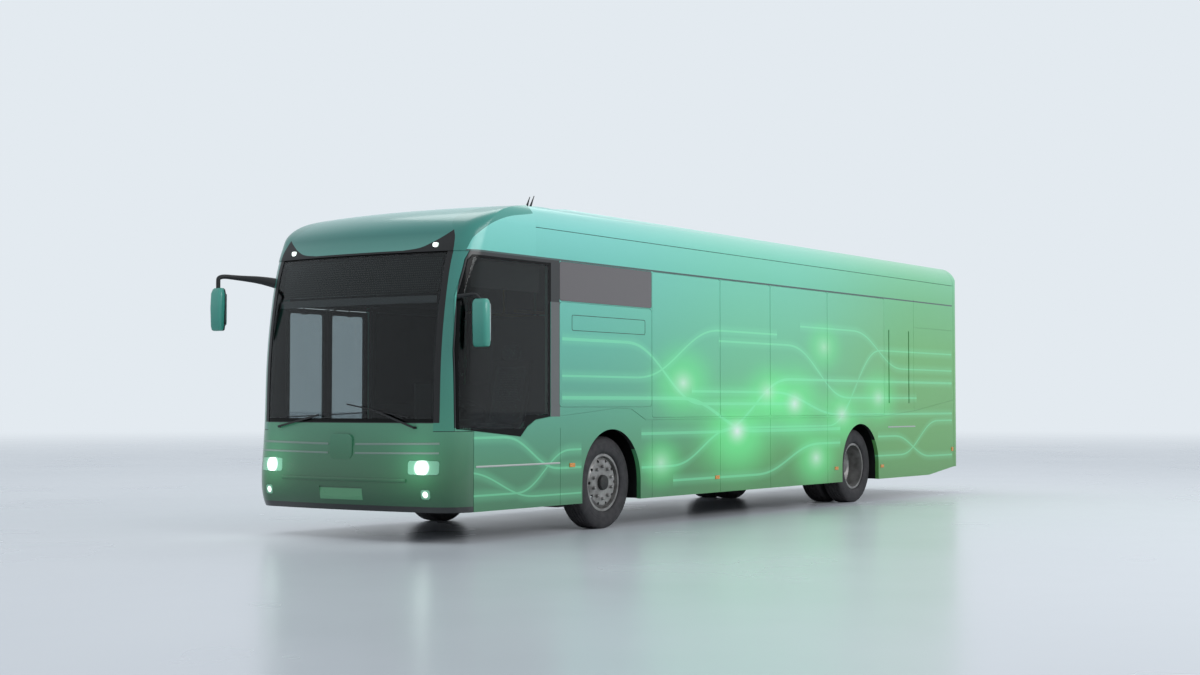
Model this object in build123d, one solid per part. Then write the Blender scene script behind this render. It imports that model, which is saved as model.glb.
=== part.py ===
from build123d import *
import os
from math import atan2, cos, degrees, asin, pi, sin, sqrt

# Overall sizes in millimetres. X is forward from the front axle, Y is left, Z is up from the road.
FRONT_OVERHANG = 2750
WHEELBASE = 5900
REAR_OVERHANG = 3350
HALF_WIDTH = 1275
SKIRT_Z = 290
SEAM_Z = 1118
EAVES_Z = 2735
CANT_Z = 3030
ROOF_Z = 3320
WALL = 50
SEAM = 6
FAR = 20000

# Curves of the body shell
CANT_RADIUS = 275
CANT_SWEEP = 72
REAR_CORNER = 190
REAR_LEAN_Z = 1700
REAR_LEAN = 130
REAR_SKIRT_RISE = 94

# Sections of the front, columns: height, set back from the front overhang, radius across, corner radius
LOWER_SECTIONS = (
    (SKIRT_Z, 60, 8000, 300),
    (400, 15, 8000, 300),
    (640, 0, 8000, 300),
    (1130, 35, 8000, 300),
    (1940, 75, 8000, 300),
    (2420, 140, 7000, 290),
    (EAVES_Z, 220, 6000, 260),
)
UPPER_SECTIONS = (
    (EAVES_Z, 220, 6000, 260),
    (2850, 295, 5000, 220),
    (3000, 450, 4500, 180),
    (3120, 700, 4000, 150),
    (3200, 1000, 4000, 130),
    (3260, 1400, 4000, 120),
    (ROOF_Z, 2050, 4000, 120),
)

# Front: glass band, arch that frames it, roof cap between the arch's shoulders
GLASS_HALF = 1055
ARCH_FOOT_Z = 1046
FLAP_X = 2320
ARCH_EDGE = ((2535, ARCH_FOOT_Z), (2535, 1800), (2490, 2300), (2380, 2650), (2330, EAVES_Z))
ARCH_TOP_X = 1900
CAP_HALF = 950
CAP_BACK_X = 1350
SCREEN_THICK = 8
SIGN_LOW = 2340
SIGN_HALF = 1000
SIGN_GAP = 25
SIGN_THICK = 60

# Front axle, steering and wheels
TYRE_RADIUS = 479
TYRE_WIDTH = 276
RIM_RADIUS = 286
RIM_WIDTH = 210
RIM_FLANGE = 300
RIM_THICK = 12
BEAD_FIT = 0.3
FRONT_WHEEL_Y = 1052
TWIN_SPACING = 325
KINGPIN_Y = 900
NUT_CIRCLE = 167.5
NUT_COUNT = 10
SPINDLE_RADIUS = 50
BEARING_FIT = 0.3
ARCH_RADIUS = 545
ARCH_CENTRE_Z = 490
REAR_AXLE_X = -WHEELBASE

# Wheel housings, columns: name, axle station, half length, inner wall
HOUSING_TOP = 1070
HOUSING_WALL = 20
HOUSINGS = (("front", 0, 620, 530), ("rear", REAR_AXLE_X, 580, 560))

# Floor
FLOOR_Z = 340
PLATFORM_Z = 800
PLATFORM_X = -4900
STEP_X = -4560
FLOOR_THICK = 50
CAB_FLOOR_Z = 560
CAB_INNER_Y = 150
CAB_BACK_X = 640
CAB_FRONT_X = 2180

# Glazing
PANE = 8
PANE_GAP = 4
REBATE = 35
# Side panes, columns: front edge, rear edge, lower edge, upper edge, corner radius
LEFT_PANES = (
    (945, -768, 1265, 2322, 40),
    (945, -768, 2328, 2728, 30),
    (-774, -2227, 1150, 2728, 30),
    (-2233, -3422, 1150, 2728, 30),
    (-3428, -4936, 1150, 2728, 30),
    (-4942, -6640, 1150, 2728, 30),
)
RIGHT_PANES = (
    (900, -768, 1265, 2322, 40),
    (900, -768, 2328, 2728, 30),
    (-774, -2095, 1150, 2728, 30),
    (-3505, -4936, 1150, 2728, 30),
    (-4942, -6640, 1150, 2728, 30),
)
DRIVER_PANE = ((2520, 1060), (1590, 980), (1480, 1075), (1345, 1140), (1095, 1170), (1095, 2700),
               (2310, 2700), (2360, 2650), (2470, 2300), (2520, 1800))

# Grooves pressed into the left side, columns: x and z of each end
GROOVE = 5
GROOVES = (
    (930, 1177, -91, 1255),
    (-91, 1255, -366, 1244),
    (-366, 1244, -646, 1127),
    (-646, 1127, -6500, 1127),
    (-6500, 1127, -7620, 1203),
    (-7620, 1203, -8985, 1354),
    (FLAP_X, SKIRT_Z, FLAP_X, 990),
    (930, SKIRT_Z, 930, 1060),
    (-774, SKIRT_Z, -774, 1127),
    (-2230, SKIRT_Z, -2230, 1127),
    (-3425, SKIRT_Z, -3425, 1127),
    (-4939, SKIRT_Z, -4939, 1127),
    (-7610, 1203, -7610, 2760),
    (-7610, 2370, -8985, 2370),
)
# Louvre slots at the rear of both sides, columns: station, lower end, upper end, width
LOUVRES = ((-6790, 1310, 2310, 30), (-7440, 1310, 2310, 30))

# Doorways on the right side, columns: name, front jamb, rear jamb
DOORWAYS = (("front", 2230, 970), ("middle", -2170, -3430))
DOORWAY_TOP = 2330
LEAF_THICK = 40
LEAF_BOTTOM = 385
LEAF_TOP = 2280
LEAF_ARM = 300
LEAF_OFFSET = 60
JAMB_GAP = 15
CENTRE_GAP = 9
PILLAR_RADIUS = 20
TRAIL_GAP = 10
ARM_THICK = 25
ARM_LIFT = 10
ARM_HALF = 18
PIVOT_RADIUS = 8
PIVOT_FIT = 0.3
PIVOT_DEPTH = 40
TRACK_DEPTH = 40
TRACK_HALF = 13
HEADER_Z = 2335
HEADER_TOP = 2420
HEADER_Y = 1120
LEAF_FRAME = 42

# Rear equipment lid
LID_HALF = 900
LID_Z = (620, 1600)
LID_THICK = 40
HINGE_RADIUS = 10
HINGE_PIN = 5
HINGE_LENGTH = 60
HINGE_Y = (-600, 600)

# Roof equipment, columns: front edge, rear edge, height
ROOF_SKIN_Z = (2900, 2950)
BATTERY_HALF = 900
BATTERIES = ((-1700, -3200, 235), (-3300, -4800, 235), (-4900, -6400, 235), (-6500, -8000, 235))
AIRCON = (900, -1500, 250)
FAIRING_RIBS = 9
RIB_THICK = 20

# Mirrors
MIRROR_TIP_Y = 1650
MIRROR_WIDTH = 220

BODY_BACK = -WHEELBASE - REAR_OVERHANG
LEAF_ALPHA = asin(LEAF_OFFSET / LEAF_ARM)
TRACK_Y = -(HALF_WIDTH - LEAF_THICK / 2 - LEAF_OFFSET)
REACH = LEAF_ARM * cos(LEAF_ALPHA)
LEAF_TRAIL = LEAF_ARM - PILLAR_RADIUS - TRAIL_GAP
RIGHT_MIRROR_X = 2925
HINGE_OUT = 12
HINGE_RISE = 14
LID_AXIS = (BODY_BACK - HINGE_OUT, LID_Z[1] + HINGE_RISE)
ORIGIN_X = (RIGHT_MIRROR_X + BODY_BACK - HINGE_OUT - HINGE_RADIUS) / 2


def block(x, y, z):
    """A box from three (low, high) pairs."""
    size = [high - low for low, high in (x, y, z)]
    middle = [(high + low) / 2 for low, high in (x, y, z)]
    return Pos(*middle) * Box(*size)


def prism(axis, outline, low, high, radius=0):
    """A straight prism along an axis; the outline is in the other two axes, in X, Y, Z order."""
    spots = {"x": lambda a, b: (low, a, b), "y": lambda a, b: (a, low, b), "z": lambda a, b: (a, b, low)}
    ways = {"x": (1, 0, 0), "y": (0, 1, 0), "z": (0, 0, 1)}
    points = [spots[axis](a, b) for a, b in outline]
    if radius:
        wire = FilletPolyline(*points, radius=radius, close=True)
    else:
        wire = Polyline(*points, close=True)
    return extrude(make_face(wire), amount=high - low, dir=ways[axis])


def rod(start, end, radius):
    """A round rod between two points."""
    line = Line(start, end)
    return extrude(Plane(origin=start, z_dir=line % 0) * Circle(radius), amount=line.length)


def bent_tube(points, radius, bend):
    """A round tube along straight runs joined by arcs."""
    path = FilletPolyline(*points, radius=bend) if len(points) > 2 else Line(*points)
    return sweep(Plane(origin=path @ 0, z_dir=path % 0) * Circle(radius), path=path)


def turned(profile, y=0, x=0, z=TYRE_RADIUS, side=1):
    """A body of revolution about a line along Y; the profile's columns are offset along Y and radius."""
    face = make_face(Polyline(*[(0, offset * side, radius) for offset, radius in profile], close=True))
    return Pos(x, y * side, z) * revolve(face, Axis.Y)


def rectangle(edges):
    """Outline in X and Z of a pane from its front, rear, lower and upper edges."""
    front, rear, low, high = edges[:4]
    return ((front, low), (front, high), (rear, high), (rear, low))


def plan(height, setback, across, corner, inset):
    """Plan of the body at one height: flat sides, a wide front arc and two corner arcs."""
    half = HALF_WIDTH - inset
    nose = FRONT_OVERHANG - setback - inset
    wide = across - inset
    tight = corner - inset
    centre_x = nose - wide
    corner_x = centre_x + sqrt((wide - tight) ** 2 - (half - tight) ** 2)
    turn = atan2(half - tight, corner_x - centre_x)
    middle = (turn + pi / 2) / 2
    meet = (centre_x + wide * cos(turn), wide * sin(turn))
    bend = (corner_x + tight * cos(middle), half - tight + tight * sin(middle))
    back = BODY_BACK + inset
    edges = [
        Line((back, -half), (corner_x, -half)),
        ThreePointArc((corner_x, -half), (bend[0], -bend[1]), (meet[0], -meet[1])),
        ThreePointArc((meet[0], -meet[1]), (nose, 0), meet),
        ThreePointArc(meet, bend, (corner_x, half)),
        Line((corner_x, half), (back, half)),
        Line((back, half), (back, -half)),
    ]
    return Plane.XY.offset(height) * make_face(edges)


def rear_envelope(inset):
    """What bounds the body at the back: round corners in plan and a lean above the lid."""
    back = BODY_BACK + inset
    half = HALF_WIDTH - inset
    round_back = prism("z", ((FAR, -half), (FAR, half), (back, half), (back, -half)), 0, FAR / 2,
                       REAR_CORNER - inset)
    top = 2 * ROOF_Z - REAR_LEAN_Z
    lean = prism("y", ((back, 0), (FAR, 0), (FAR, top), (back + 2 * REAR_LEAN, top),
                       (back, REAR_LEAN_Z)), -half, half)
    return round_back & lean


def roof_section(inset):
    """Cross-section of the body: upright sides, quarter-round cant rails and a slightly crowned roof."""
    bend = CANT_RADIUS - inset
    centre_y = HALF_WIDTH - CANT_RADIUS
    turn = CANT_SWEEP * pi / 180
    half = HALF_WIDTH - inset
    top = ROOF_Z - inset
    shoulder = (centre_y + bend * cos(turn), CANT_Z + bend * sin(turn))
    middle = (centre_y + bend * cos(turn / 2), CANT_Z + bend * sin(turn / 2))
    def at(y, z):
        return (-FAR / 2, y, z)
    edges = [
        Line(at(-half, 0), at(half, 0)),
        Line(at(half, 0), at(half, CANT_Z)),
        ThreePointArc(at(half, CANT_Z), at(*middle), at(*shoulder)),
        ThreePointArc(at(*shoulder), at(0, top), at(-shoulder[0], shoulder[1])),
        ThreePointArc(at(-shoulder[0], shoulder[1]), at(-middle[0], middle[1]), at(-half, CANT_Z)),
        Line(at(-half, CANT_Z), at(-half, 0)),
    ]
    return extrude(make_face(edges), amount=FAR, dir=(1, 0, 0))


def lower_body(inset):
    """The body below the eaves as one solid, its skin moved inward by the inset."""
    return loft([plan(*row, inset=inset) for row in LOWER_SECTIONS]) & rear_envelope(inset)


def upper_body(inset):
    """The body above the eaves as one solid, lowered with the inset towards the roof."""
    span = ROOF_Z - EAVES_Z
    rows = [(z - inset * (z - EAVES_Z) / span, *rest) for z, *rest in UPPER_SECTIONS]
    return loft([plan(*row, inset=inset) for row in rows]) & rear_envelope(inset) & roof_section(inset)


def arch_region(side):
    """Where the front arch's pillar lies on one side, from its foot to the eaves."""
    outline = (*ARCH_EDGE, (FAR, EAVES_Z), (FAR, ARCH_FOOT_Z))
    low, high = sorted((side * GLASS_HALF, side * FAR / 2))
    return prism("y", outline, low, high)


def front_arch(lower, upper):
    """The arch round the windscreen: two leaning pillars that run up into the roof's shoulders."""
    arch = None
    for side in (1, -1):
        pillar = lower & arch_region(side)
        outline = (ARCH_EDGE[-1], (ARCH_TOP_X, CANT_Z), (ARCH_TOP_X, ROOF_Z), (FAR, ROOF_Z), (FAR, EAVES_Z))
        low, high = sorted((side * CAP_HALF, side * FAR / 2))
        shoulder = upper & prism("y", outline, low, high)
        arch = pillar + shoulder if arch is None else arch + pillar + shoulder
    return arch


def glass_frame():
    """The flange the windscreen is bonded to: a header that carries the cap, and a strip down each pillar."""
    layer = lower_body(SEAM + SCREEN_THICK) - lower_body(WALL)
    lap = GLASS_HALF + SEAM
    hole = GLASS_HALF - FLANGE
    ring = block((FLAP_X - 200, FAR), (-lap, lap), (SEAM_Z + SEAM, EAVES_Z))
    ring -= block((0, FAR), (-hole, hole), (0, EAVES_Z - HEADER_HEIGHT))
    return layer & ring


def foot_posts():
    """Posts behind the front panel that stand on the floor and carry the arch."""
    layer = lower_body(WALL) - lower_body(WALL + POST_THICK)
    posts = []
    for side in (1, -1):
        y = sorted((side * POST_Y[0], side * POST_Y[1]))
        posts.append(layer & block((FLAP_X, FAR), y, (FLOOR_Z, ARCH_FOOT_Z + POST_LAP)))
    return posts[0] + posts[1]


FLANGE = 25
HEADER_HEIGHT = 35
POST_THICK = 40
POST_Y = (1060, 1150)
POST_LAP = 120


def roof_cap(upper):
    """The convex cap over the windscreen, between the arch's shoulders."""
    half = CAP_HALF - SEAM
    return upper & block((CAP_BACK_X, FAR), (-half, half), (EAVES_Z, FAR / 2))


def front_panel(lower):
    """The front panel with bumper, lamp pockets, a bare round boss and the recess for a plate."""
    middle = lower & block((FLAP_X, FAR), (-GLASS_HALF, GLASS_HALF), (SKIRT_Z, SEAM_Z))
    panel = middle
    for side in (1, -1):
        low, high = sorted((side * GLASS_HALF, side * FAR / 2))
        panel += lower & block((FLAP_X, FAR), (low, high), (SKIRT_Z, ARCH_FOOT_Z - SEAM))
    pockets = lamp_layer()
    for outline in lamp_outlines():
        panel -= pockets & prism("x", outline, FLAP_X, FAR, LAMP_ROUND)
    boss_x = FRONT_OVERHANG - BOSS_BACK
    panel += prism("x", BOSS_OUTLINE, boss_x - WALL, boss_x, BOSS_ROUND)
    panel -= block((FRONT_OVERHANG - PLATE_DEPTH, FAR), (-PLATE_HALF, PLATE_HALF), PLATE_Z)
    for y in (-PLATE_HOLE_SPACING / 2, PLATE_HOLE_SPACING / 2):
        panel -= rod((FLAP_X, y, sum(PLATE_Z) / 2), (FRONT_OVERHANG, y, sum(PLATE_Z) / 2), PLATE_HOLE)
    return panel


BOSS_BACK = 8
BOSS_ROUND = 60
BOSS_OUTLINE = ((-140, 774), (140, 774), (140, 1014), (-140, 1014))
PLATE_DEPTH = 12
PLATE_HALF = 270
PLATE_HOLE = 3.5
PLATE_HOLE_SPACING = 420
PLATE_Z = (395, 515)
LAMP_ROUND = 30
LAMP_FIT = 3
LAMP_THICK = 40
# Lamp faces in Y and Z on the left, columns: inner, outer, lower, upper edge
LAMP_FACES = ((800, 1130, 640, 775), (945, 1050, 412, 508))


def lamp_outlines(shrink=0):
    """Outlines in Y and Z of the lamps on both sides."""
    outlines = []
    for inner, outer, low, high in LAMP_FACES:
        for side in (1, -1):
            near, far = side * (inner + shrink), side * (outer - shrink)
            outlines.append(((near, low + shrink), (far, low + shrink), (far, high - shrink), (near, high - shrink)))
    return outlines


def lamp_layer():
    """The outer layer of the body that the lamps fill; what is behind it is their pockets' floor."""
    return lower_body(0) - lower_body(LAMP_THICK)


def headlamps():
    """Head and fog lamps, each seated in its pocket with the body's own curve as its face."""
    layer = lamp_layer()
    lamps = [layer & prism("x", outline, FLAP_X, FAR, LAMP_ROUND - LAMP_FIT) for outline in lamp_outlines(LAMP_FIT)]
    return Compound([lamp.solid() for lamp in lamps])


def windscreen():
    """The one-piece curved windscreen that also covers the destination sign."""
    outer = loft([plan(*row, inset=SEAM) for row in LOWER_SECTIONS])
    inner = loft([plan(*row, inset=SEAM + SCREEN_THICK) for row in LOWER_SECTIONS])
    half = GLASS_HALF - PANE_GAP
    return (outer - inner) & block((FLAP_X - 200, FAR), (-half, half), (SEAM_Z + PANE_GAP, EAVES_Z - PANE_GAP))


def destination_sign():
    """The sign box behind the top of the windscreen, blank, with the glass's curve as its front."""
    front = lower_body(SEAM + SCREEN_THICK + SIGN_GAP)
    back = lower_body(SEAM + SCREEN_THICK + SIGN_GAP + SIGN_THICK)
    return (front - back) & block((FLAP_X - 200, FAR), (-SIGN_HALF, SIGN_HALF),
                            (SIGN_LOW, EAVES_Z - HEADER_HEIGHT))


def arch_cut(x):
    """The round opening over a wheel, open at the bottom."""
    disc = prism("y", ((x - ARCH_RADIUS, 0), (x + ARCH_RADIUS, 0), (x + ARCH_RADIUS, ARCH_CENTRE_Z),
                       (x - ARCH_RADIUS, ARCH_CENTRE_Z)), -FAR, FAR)
    ring = Pos(x, 0, ARCH_CENTRE_Z) * Rot(90, 0, 0) * Cylinder(ARCH_RADIUS, 2 * FAR)
    return disc + ring


def side_blank(lower, side):
    """One side wall before its openings: from the front flap to the rear corner, up to the cant line."""
    low, high = sorted((side * (HALF_WIDTH - REAR_CORNER), side * FAR / 2))
    gap = SEAM
    edge = [(x - gap, z) for x, z in ARCH_EDGE]
    rear = BODY_BACK + REAR_CORNER + WALL
    outline = ((rear, SKIRT_Z + REAR_SKIRT_RISE), (rear + 900, SKIRT_Z), (FLAP_X - gap, SKIRT_Z),
               (FLAP_X - gap, ARCH_FOOT_Z), *edge, (rear, EAVES_Z))
    wall = lower & prism("y", outline, low, high)
    top_y = sorted((side * (HALF_WIDTH - WALL), side * HALF_WIDTH))
    slope = ((rear, EAVES_Z), (edge[-1][0] - 160, EAVES_Z), (ARCH_TOP_X - gap, CANT_Z), (rear, CANT_Z))
    return wall + prism("y", slope, *top_y)


def pane_cut(outline, side, radius, inner):
    """The rebate and the through opening for one flush pane."""
    rebate_y = sorted((side * (HALF_WIDTH - PANE), side * FAR / 2))
    through_y = sorted((side * (HALF_WIDTH - 3 * WALL), side * FAR / 2))
    return prism("y", outline, *rebate_y, radius) + prism("y", inner, *through_y, radius)


def inset_edges(edges, amount):
    """Pane edges moved inward all round."""
    front, rear, low, high, *rest = edges
    return (front - amount, rear + amount, low + amount, high - amount, *rest)


def side_wall(lower, side, panes):
    """A side wall with its wheel arches, window openings, grooves and louvre slots."""
    wall = side_blank(lower, side)
    for x in (0, REAR_AXLE_X):
        wall -= arch_cut(x)
    for pane in panes:
        wall -= pane_cut(rectangle(pane), side, pane[4], rectangle(inset_edges(pane, REBATE)))
    for x, low, high, width in LOUVRES:
        wall -= block((x - width / 2, x + width / 2), sorted((side * (HALF_WIDTH - WALL), side * FAR)), (low, high))
    for x0, z0, x1, z1 in GROOVES:
        length = sqrt((x1 - x0) ** 2 + (z1 - z0) ** 2)
        tilt = degrees(atan2(z1 - z0, x1 - x0))
        groove = Box(length, 2 * GROOVE, GROOVE)
        wall -= Pos((x0 + x1) / 2, side * HALF_WIDTH, (z0 + z1) / 2) * Rot(0, -tilt, 0) * groove
    return wall


def side_wall_left(lower):
    """The door-less side, with the stepped driver's window in its curved front end."""
    wall = side_wall(lower, 1, LEFT_PANES)
    inner = ((2485, 1100), (1605, 1020), (1500, 1115), (1360, 1180), (1130, 1205), (1130, 2665), (2290, 2665),
             (2330, 2630), (2435, 2295), (2485, 1795))
    rebate = prism("y", DRIVER_PANE, HALF_WIDTH - REAR_CORNER, FAR)
    wall -= rebate & (loft([plan(*row, inset=0) for row in LOWER_SECTIONS])
                      - loft([plan(*row, inset=PANE) for row in LOWER_SECTIONS]))
    return wall - prism("y", inner, HALF_WIDTH - 2 * REAR_CORNER, FAR)


def side_wall_right(lower):
    """The door side, with a doorway at each pair of leaves and the rail that guides their rollers."""
    wall = side_wall(lower, -1, RIGHT_PANES)
    for name, front, rear in DOORWAYS:
        wall -= block((rear, front), (-FAR, -HALF_WIDTH + 3 * WALL), (FLOOR_Z, DOORWAY_TOP))
        rail = block((rear - 60, front + 60), (-HALF_WIDTH + WALL, -HEADER_Y), (HEADER_Z, HEADER_TOP))
        slot = block((rear + 20, front - 20), (TRACK_Y - TRACK_HALF, TRACK_Y + TRACK_HALF),
                     (HEADER_Z, HEADER_Z + TRACK_DEPTH))
        wall += rail - slot
    return wall


def panes(side, rows):
    """The flush panes of one side as separate solids."""
    y = sorted((side * (HALF_WIDTH - PANE), side * HALF_WIDTH))
    return [prism("y", rectangle(inset_edges(row, PANE_GAP)), *y, row[4]).solid() for row in rows]


def side_glass_left():
    """Left panes and the driver's window, which follows the body round its front corner."""
    skin = loft([plan(*row, inset=0) for row in LOWER_SECTIONS]) - loft([plan(*row, inset=PANE)
                                                                         for row in LOWER_SECTIONS])
    outline = ((2515, 1065), (1592, 985), (1482, 1080), (1347, 1145), (1100, 1175), (1100, 2695), (2306, 2695),
               (2355, 2648), (2465, 2299), (2515, 1799))
    driver = skin & prism("y", outline, HALF_WIDTH - REAR_CORNER, FAR)
    return Compound([*panes(1, LEFT_PANES), driver.solid()])


def side_glass_right():
    return Compound(panes(-1, RIGHT_PANES))


def wheel_housings():
    """Four boxes over the wheels, open below and outward, that carry the air springs' towers."""
    pieces = []
    for name, x, half, inner in HOUSINGS:
        for side in (1, -1):
            y = sorted((side * (inner - HOUSING_WALL), side * (HALF_WIDTH - WALL)))
            hollow_y = sorted((side * inner, side * FAR))
            shell = block((x - half - HOUSING_WALL, x + half + HOUSING_WALL), y, (SKIRT_Z, HOUSING_TOP))
            shell -= block((x - half, x + half), hollow_y, (0, HOUSING_TOP - HOUSING_WALL))
            if name == "front":
                tower = rod((x, side * SPRING_Y, SPRING_TOP), (x, side * SPRING_Y, HOUSING_TOP - HOUSING_WALL),
                            TOWER_RADIUS)
                shell += tower
            else:
                shell -= block((x - AXLE_PORT, x + AXLE_PORT), y, (0, AXLE_PORT_TOP))
            pieces.append(shell.solid())
    return Compound(pieces)


AXLE_PORT = 140
AXLE_PORT_TOP = 640
SPRING_Y = 655
SPRING_RADIUS = 112
SPRING_TOP = 700
SPRING_SEAT = 420
TOWER_RADIUS = 70


def clear_of_housings(shape):
    """The piece with the wheel housings' places cut out of it."""
    for name, x, half, wall_y in HOUSINGS:
        for side in (1, -1):
            y = sorted((side * (wall_y - HOUSING_WALL), side * FAR / 2))
            shape -= block((x - half - HOUSING_WALL, x + half + HOUSING_WALL), y, (0, FAR / 2))
    return shape


def floor_frame():
    """The low floor between the cab and the rear platform, with its nose under the dashboard."""
    inner = HALF_WIDTH - WALL
    low = block((PLATFORM_X, CAB_FRONT_X), (-inner, inner), (FLOOR_Z - FLOOR_THICK, FLOOR_Z))
    nose = lower_body(WALL) & block((CAB_FRONT_X, FAR), (-POST_Y[1], POST_Y[1]), (FLOOR_Z - FLOOR_THICK, FLOOR_Z))
    return clear_of_housings(low + nose)


def rear_platform():
    """The raised rear floor with its step, riser and bulkhead, on two rails and the beam at their ends."""
    inner = HALF_WIDTH - WALL
    back = BODY_BACK + WALL
    platform = block((PLATFORM_X - FLOOR_THICK, PLATFORM_X), (-inner, inner), (FLOOR_Z - FLOOR_THICK, PLATFORM_Z))
    platform += block((PLATFORM_X, STEP_X), (-inner, inner), (FLOOR_Z, (FLOOR_Z + PLATFORM_Z) / 2))
    platform += block((BULKHEAD_X, PLATFORM_X), (-inner, inner), (PLATFORM_Z - FLOOR_THICK, PLATFORM_Z))
    platform += block((BULKHEAD_X, BULKHEAD_X + BULKHEAD_THICK), (-inner, inner), (PLATFORM_Z, ROOF_SKIN_Z[0]))
    for side in (1, -1):
        platform += block((back, PLATFORM_X - FLOOR_THICK), sorted((side * RAIL_Y[0], side * RAIL_Y[1])),
                          (RAIL_Z, PLATFORM_Z - FLOOR_THICK))
    platform += block((back, back + BEAM_LENGTH), (-LID_HALF, LID_HALF), (LID_Z[0] - BEAM_DROP, RAIL_Z))
    return clear_of_housings(platform)


def cab_plinth():
    """The raised floor of the cab, on the low floor beside the wheel housing."""
    inner = HALF_WIDTH - WALL
    return clear_of_housings(block((CAB_BACK_X, CAB_FRONT_X), (CAB_INNER_Y, inner), (FLOOR_Z, CAB_FLOOR_Z)))


BULKHEAD_X = -8400
BULKHEAD_THICK = 40
BEAM_LENGTH = 80
BEAM_DROP = 80
RAIL_Y = (395, 475)
RAIL_Z = 650


def roof():
    """The roof skin between the side walls."""
    inner = HALF_WIDTH - WALL
    return block((BODY_BACK + REAR_CORNER + WALL, CAP_BACK_X + 600), (-inner, inner), ROOF_SKIN_Z)


def roof_fairings(upper):
    """The curved fairings along both roof edges, on ribs that stand on the roof skin."""
    rear = BODY_BACK + REAR_CORNER + WALL
    front = ARCH_TOP_X - SEAM
    pieces = []
    inside = roof_section(WALL)
    for side in (1, -1):
        y = sorted((side * FAIRING_EDGE, side * FAR / 2))
        fairing = upper & block((rear, front), y, (CANT_Z + SEAM, FAR / 2))
        for index in range(FAIRING_RIBS):
            x = rear + 100 + index * (CAP_BACK_X - rear - 200) / (FAIRING_RIBS - 1)
            rib_y = sorted((side * RIB_Y, side * FAR / 2))
            fairing += inside & block((x - RIB_THICK / 2, x + RIB_THICK / 2), rib_y, (ROOF_SKIN_Z[1], FAR / 2))
        pieces.append(fairing.solid())
    return Compound(pieces)


FAIRING_EDGE = 960
RIB_Y = 1100


def battery_packs():
    """Four closed battery boxes on the roof, with ribbed lids."""
    packs = []
    for front, rear, height in BATTERIES:
        pack = block((rear, front), (-BATTERY_HALF, BATTERY_HALF), (ROOF_SKIN_Z[1], ROOF_SKIN_Z[1] + height))
        for y in (-600, -200, 200, 600):
            top = ROOF_SKIN_Z[1] + height
            pack += block((rear + 100, front - 100), (y - 60, y + 60), (top, top + 15))
        packs.append(pack.solid())
    return Compound(packs)


def roof_aircon():
    """The air-conditioning unit with two fan mouths."""
    front, rear, height = AIRCON
    top = ROOF_SKIN_Z[1] + height
    unit = prism("y", ((rear, ROOF_SKIN_Z[1]), (rear, top), (front - 300, top), (front, top - 120),
                       (front, ROOF_SKIN_Z[1])), -780, 780)
    for x in (rear + 500, rear + 1300):
        unit -= Pos(x, 0, top) * Cylinder(260, 60)
        unit += Pos(x, 0, top - 15) * Cylinder(70, 30)
    return unit


def rear_wall(lower, upper):
    """The rear end with both corners, from the bumper to the roof, and the mouth under the lid."""
    x = (BODY_BACK - 50, BODY_BACK + REAR_CORNER + WALL - SEAM)
    wall = lower & block(x, (-FAR / 2, FAR / 2), (SKIRT_Z + REAR_SKIRT_RISE, EAVES_Z))
    wall += upper & block(x, (-FAR / 2, FAR / 2), (EAVES_Z, FAR / 2))
    wall -= block((BODY_BACK - 50, BODY_BACK + 2 * WALL), (-LID_HALF, LID_HALF), LID_Z)
    for y in HINGE_Y:
        for end in (-1, 1):
            centre = y + end * HINGE_LENGTH
            wall += hinge_lug(centre, up=True)
        wall += rod((LID_AXIS[0], y - 1.5 * HINGE_LENGTH, LID_AXIS[1]), (LID_AXIS[0], y + 1.5 * HINGE_LENGTH, LID_AXIS[1]),
                    HINGE_PIN)
    pockets = lamp_layer()
    for side in (1, -1):
        wall -= pockets & tail_lamp_region(side, 0)
    return wall


def hinge_lug(y, up):
    """One knuckle of the lid's hinge with the web that ties it to the wall above or to the lid below."""
    x, z = LID_AXIS
    half = HINGE_LENGTH / 2 - 1
    knuckle = rod((x, y - half, z), (x, y + half, z), HINGE_RADIUS)
    if up:
        return knuckle + block((x, BODY_BACK + 10), (y - half, y + half), (z - 4, z + 24))
    foot = LID_Z[1] - 40
    web = block((x - 4, x + 4), (y - half, y + half), (foot, z))
    return knuckle + web + block((x - 4, BODY_BACK + 6), (y - half, y + half), (foot, LID_Z[1] - SEAM))


def rear_lid(lower):
    """The top-hinged equipment lid with pressed ribs."""
    half = LID_HALF - SEAM
    lid = lower & block((BODY_BACK - 50, BODY_BACK + LID_THICK), (-half, half), (LID_Z[0] + SEAM, LID_Z[1] - SEAM))
    for z in range(5):
        slot_z = LID_Z[0] + 200 + z * 90
        lid -= block((BODY_BACK - 50, BODY_BACK + 15), (-650, 650), (slot_z, slot_z + 40))
    for y in HINGE_Y:
        knuckle = hinge_lug(y, up=False)
        x, z = LID_AXIS
        knuckle -= rod((x, y - HINGE_LENGTH, z), (x, y + HINGE_LENGTH, z), HINGE_PIN + PIVOT_FIT)
        lid += knuckle
    return lid


TAIL_Y = (1040, 1250)
TAIL_ROWS = ((700, 1240), (2500, 2600))


def tail_lamp_region(side, shrink):
    """Where the tail lamps sit on one rear corner."""
    region = None
    for low, high in TAIL_ROWS:
        y = sorted((side * (TAIL_Y[0] + shrink), side * (TAIL_Y[1] - 60 - shrink)))
        cell = prism("x", ((y[0], low + shrink), (y[1], low + shrink), (y[1], high - shrink), (y[0], high - shrink)),
                     BODY_BACK - 50, BODY_BACK + 2 * REAR_CORNER, 20)
        region = cell if region is None else region + cell
    return region


def tail_lamps():
    """Upright lamp clusters in both rear corners and the high lamps above them."""
    pieces = []
    layer = lamp_layer()
    for side in (1, -1):
        lamps = layer & tail_lamp_region(side, LAMP_FIT)
        pieces += list(lamps.solids())
    return Compound(pieces)


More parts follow.
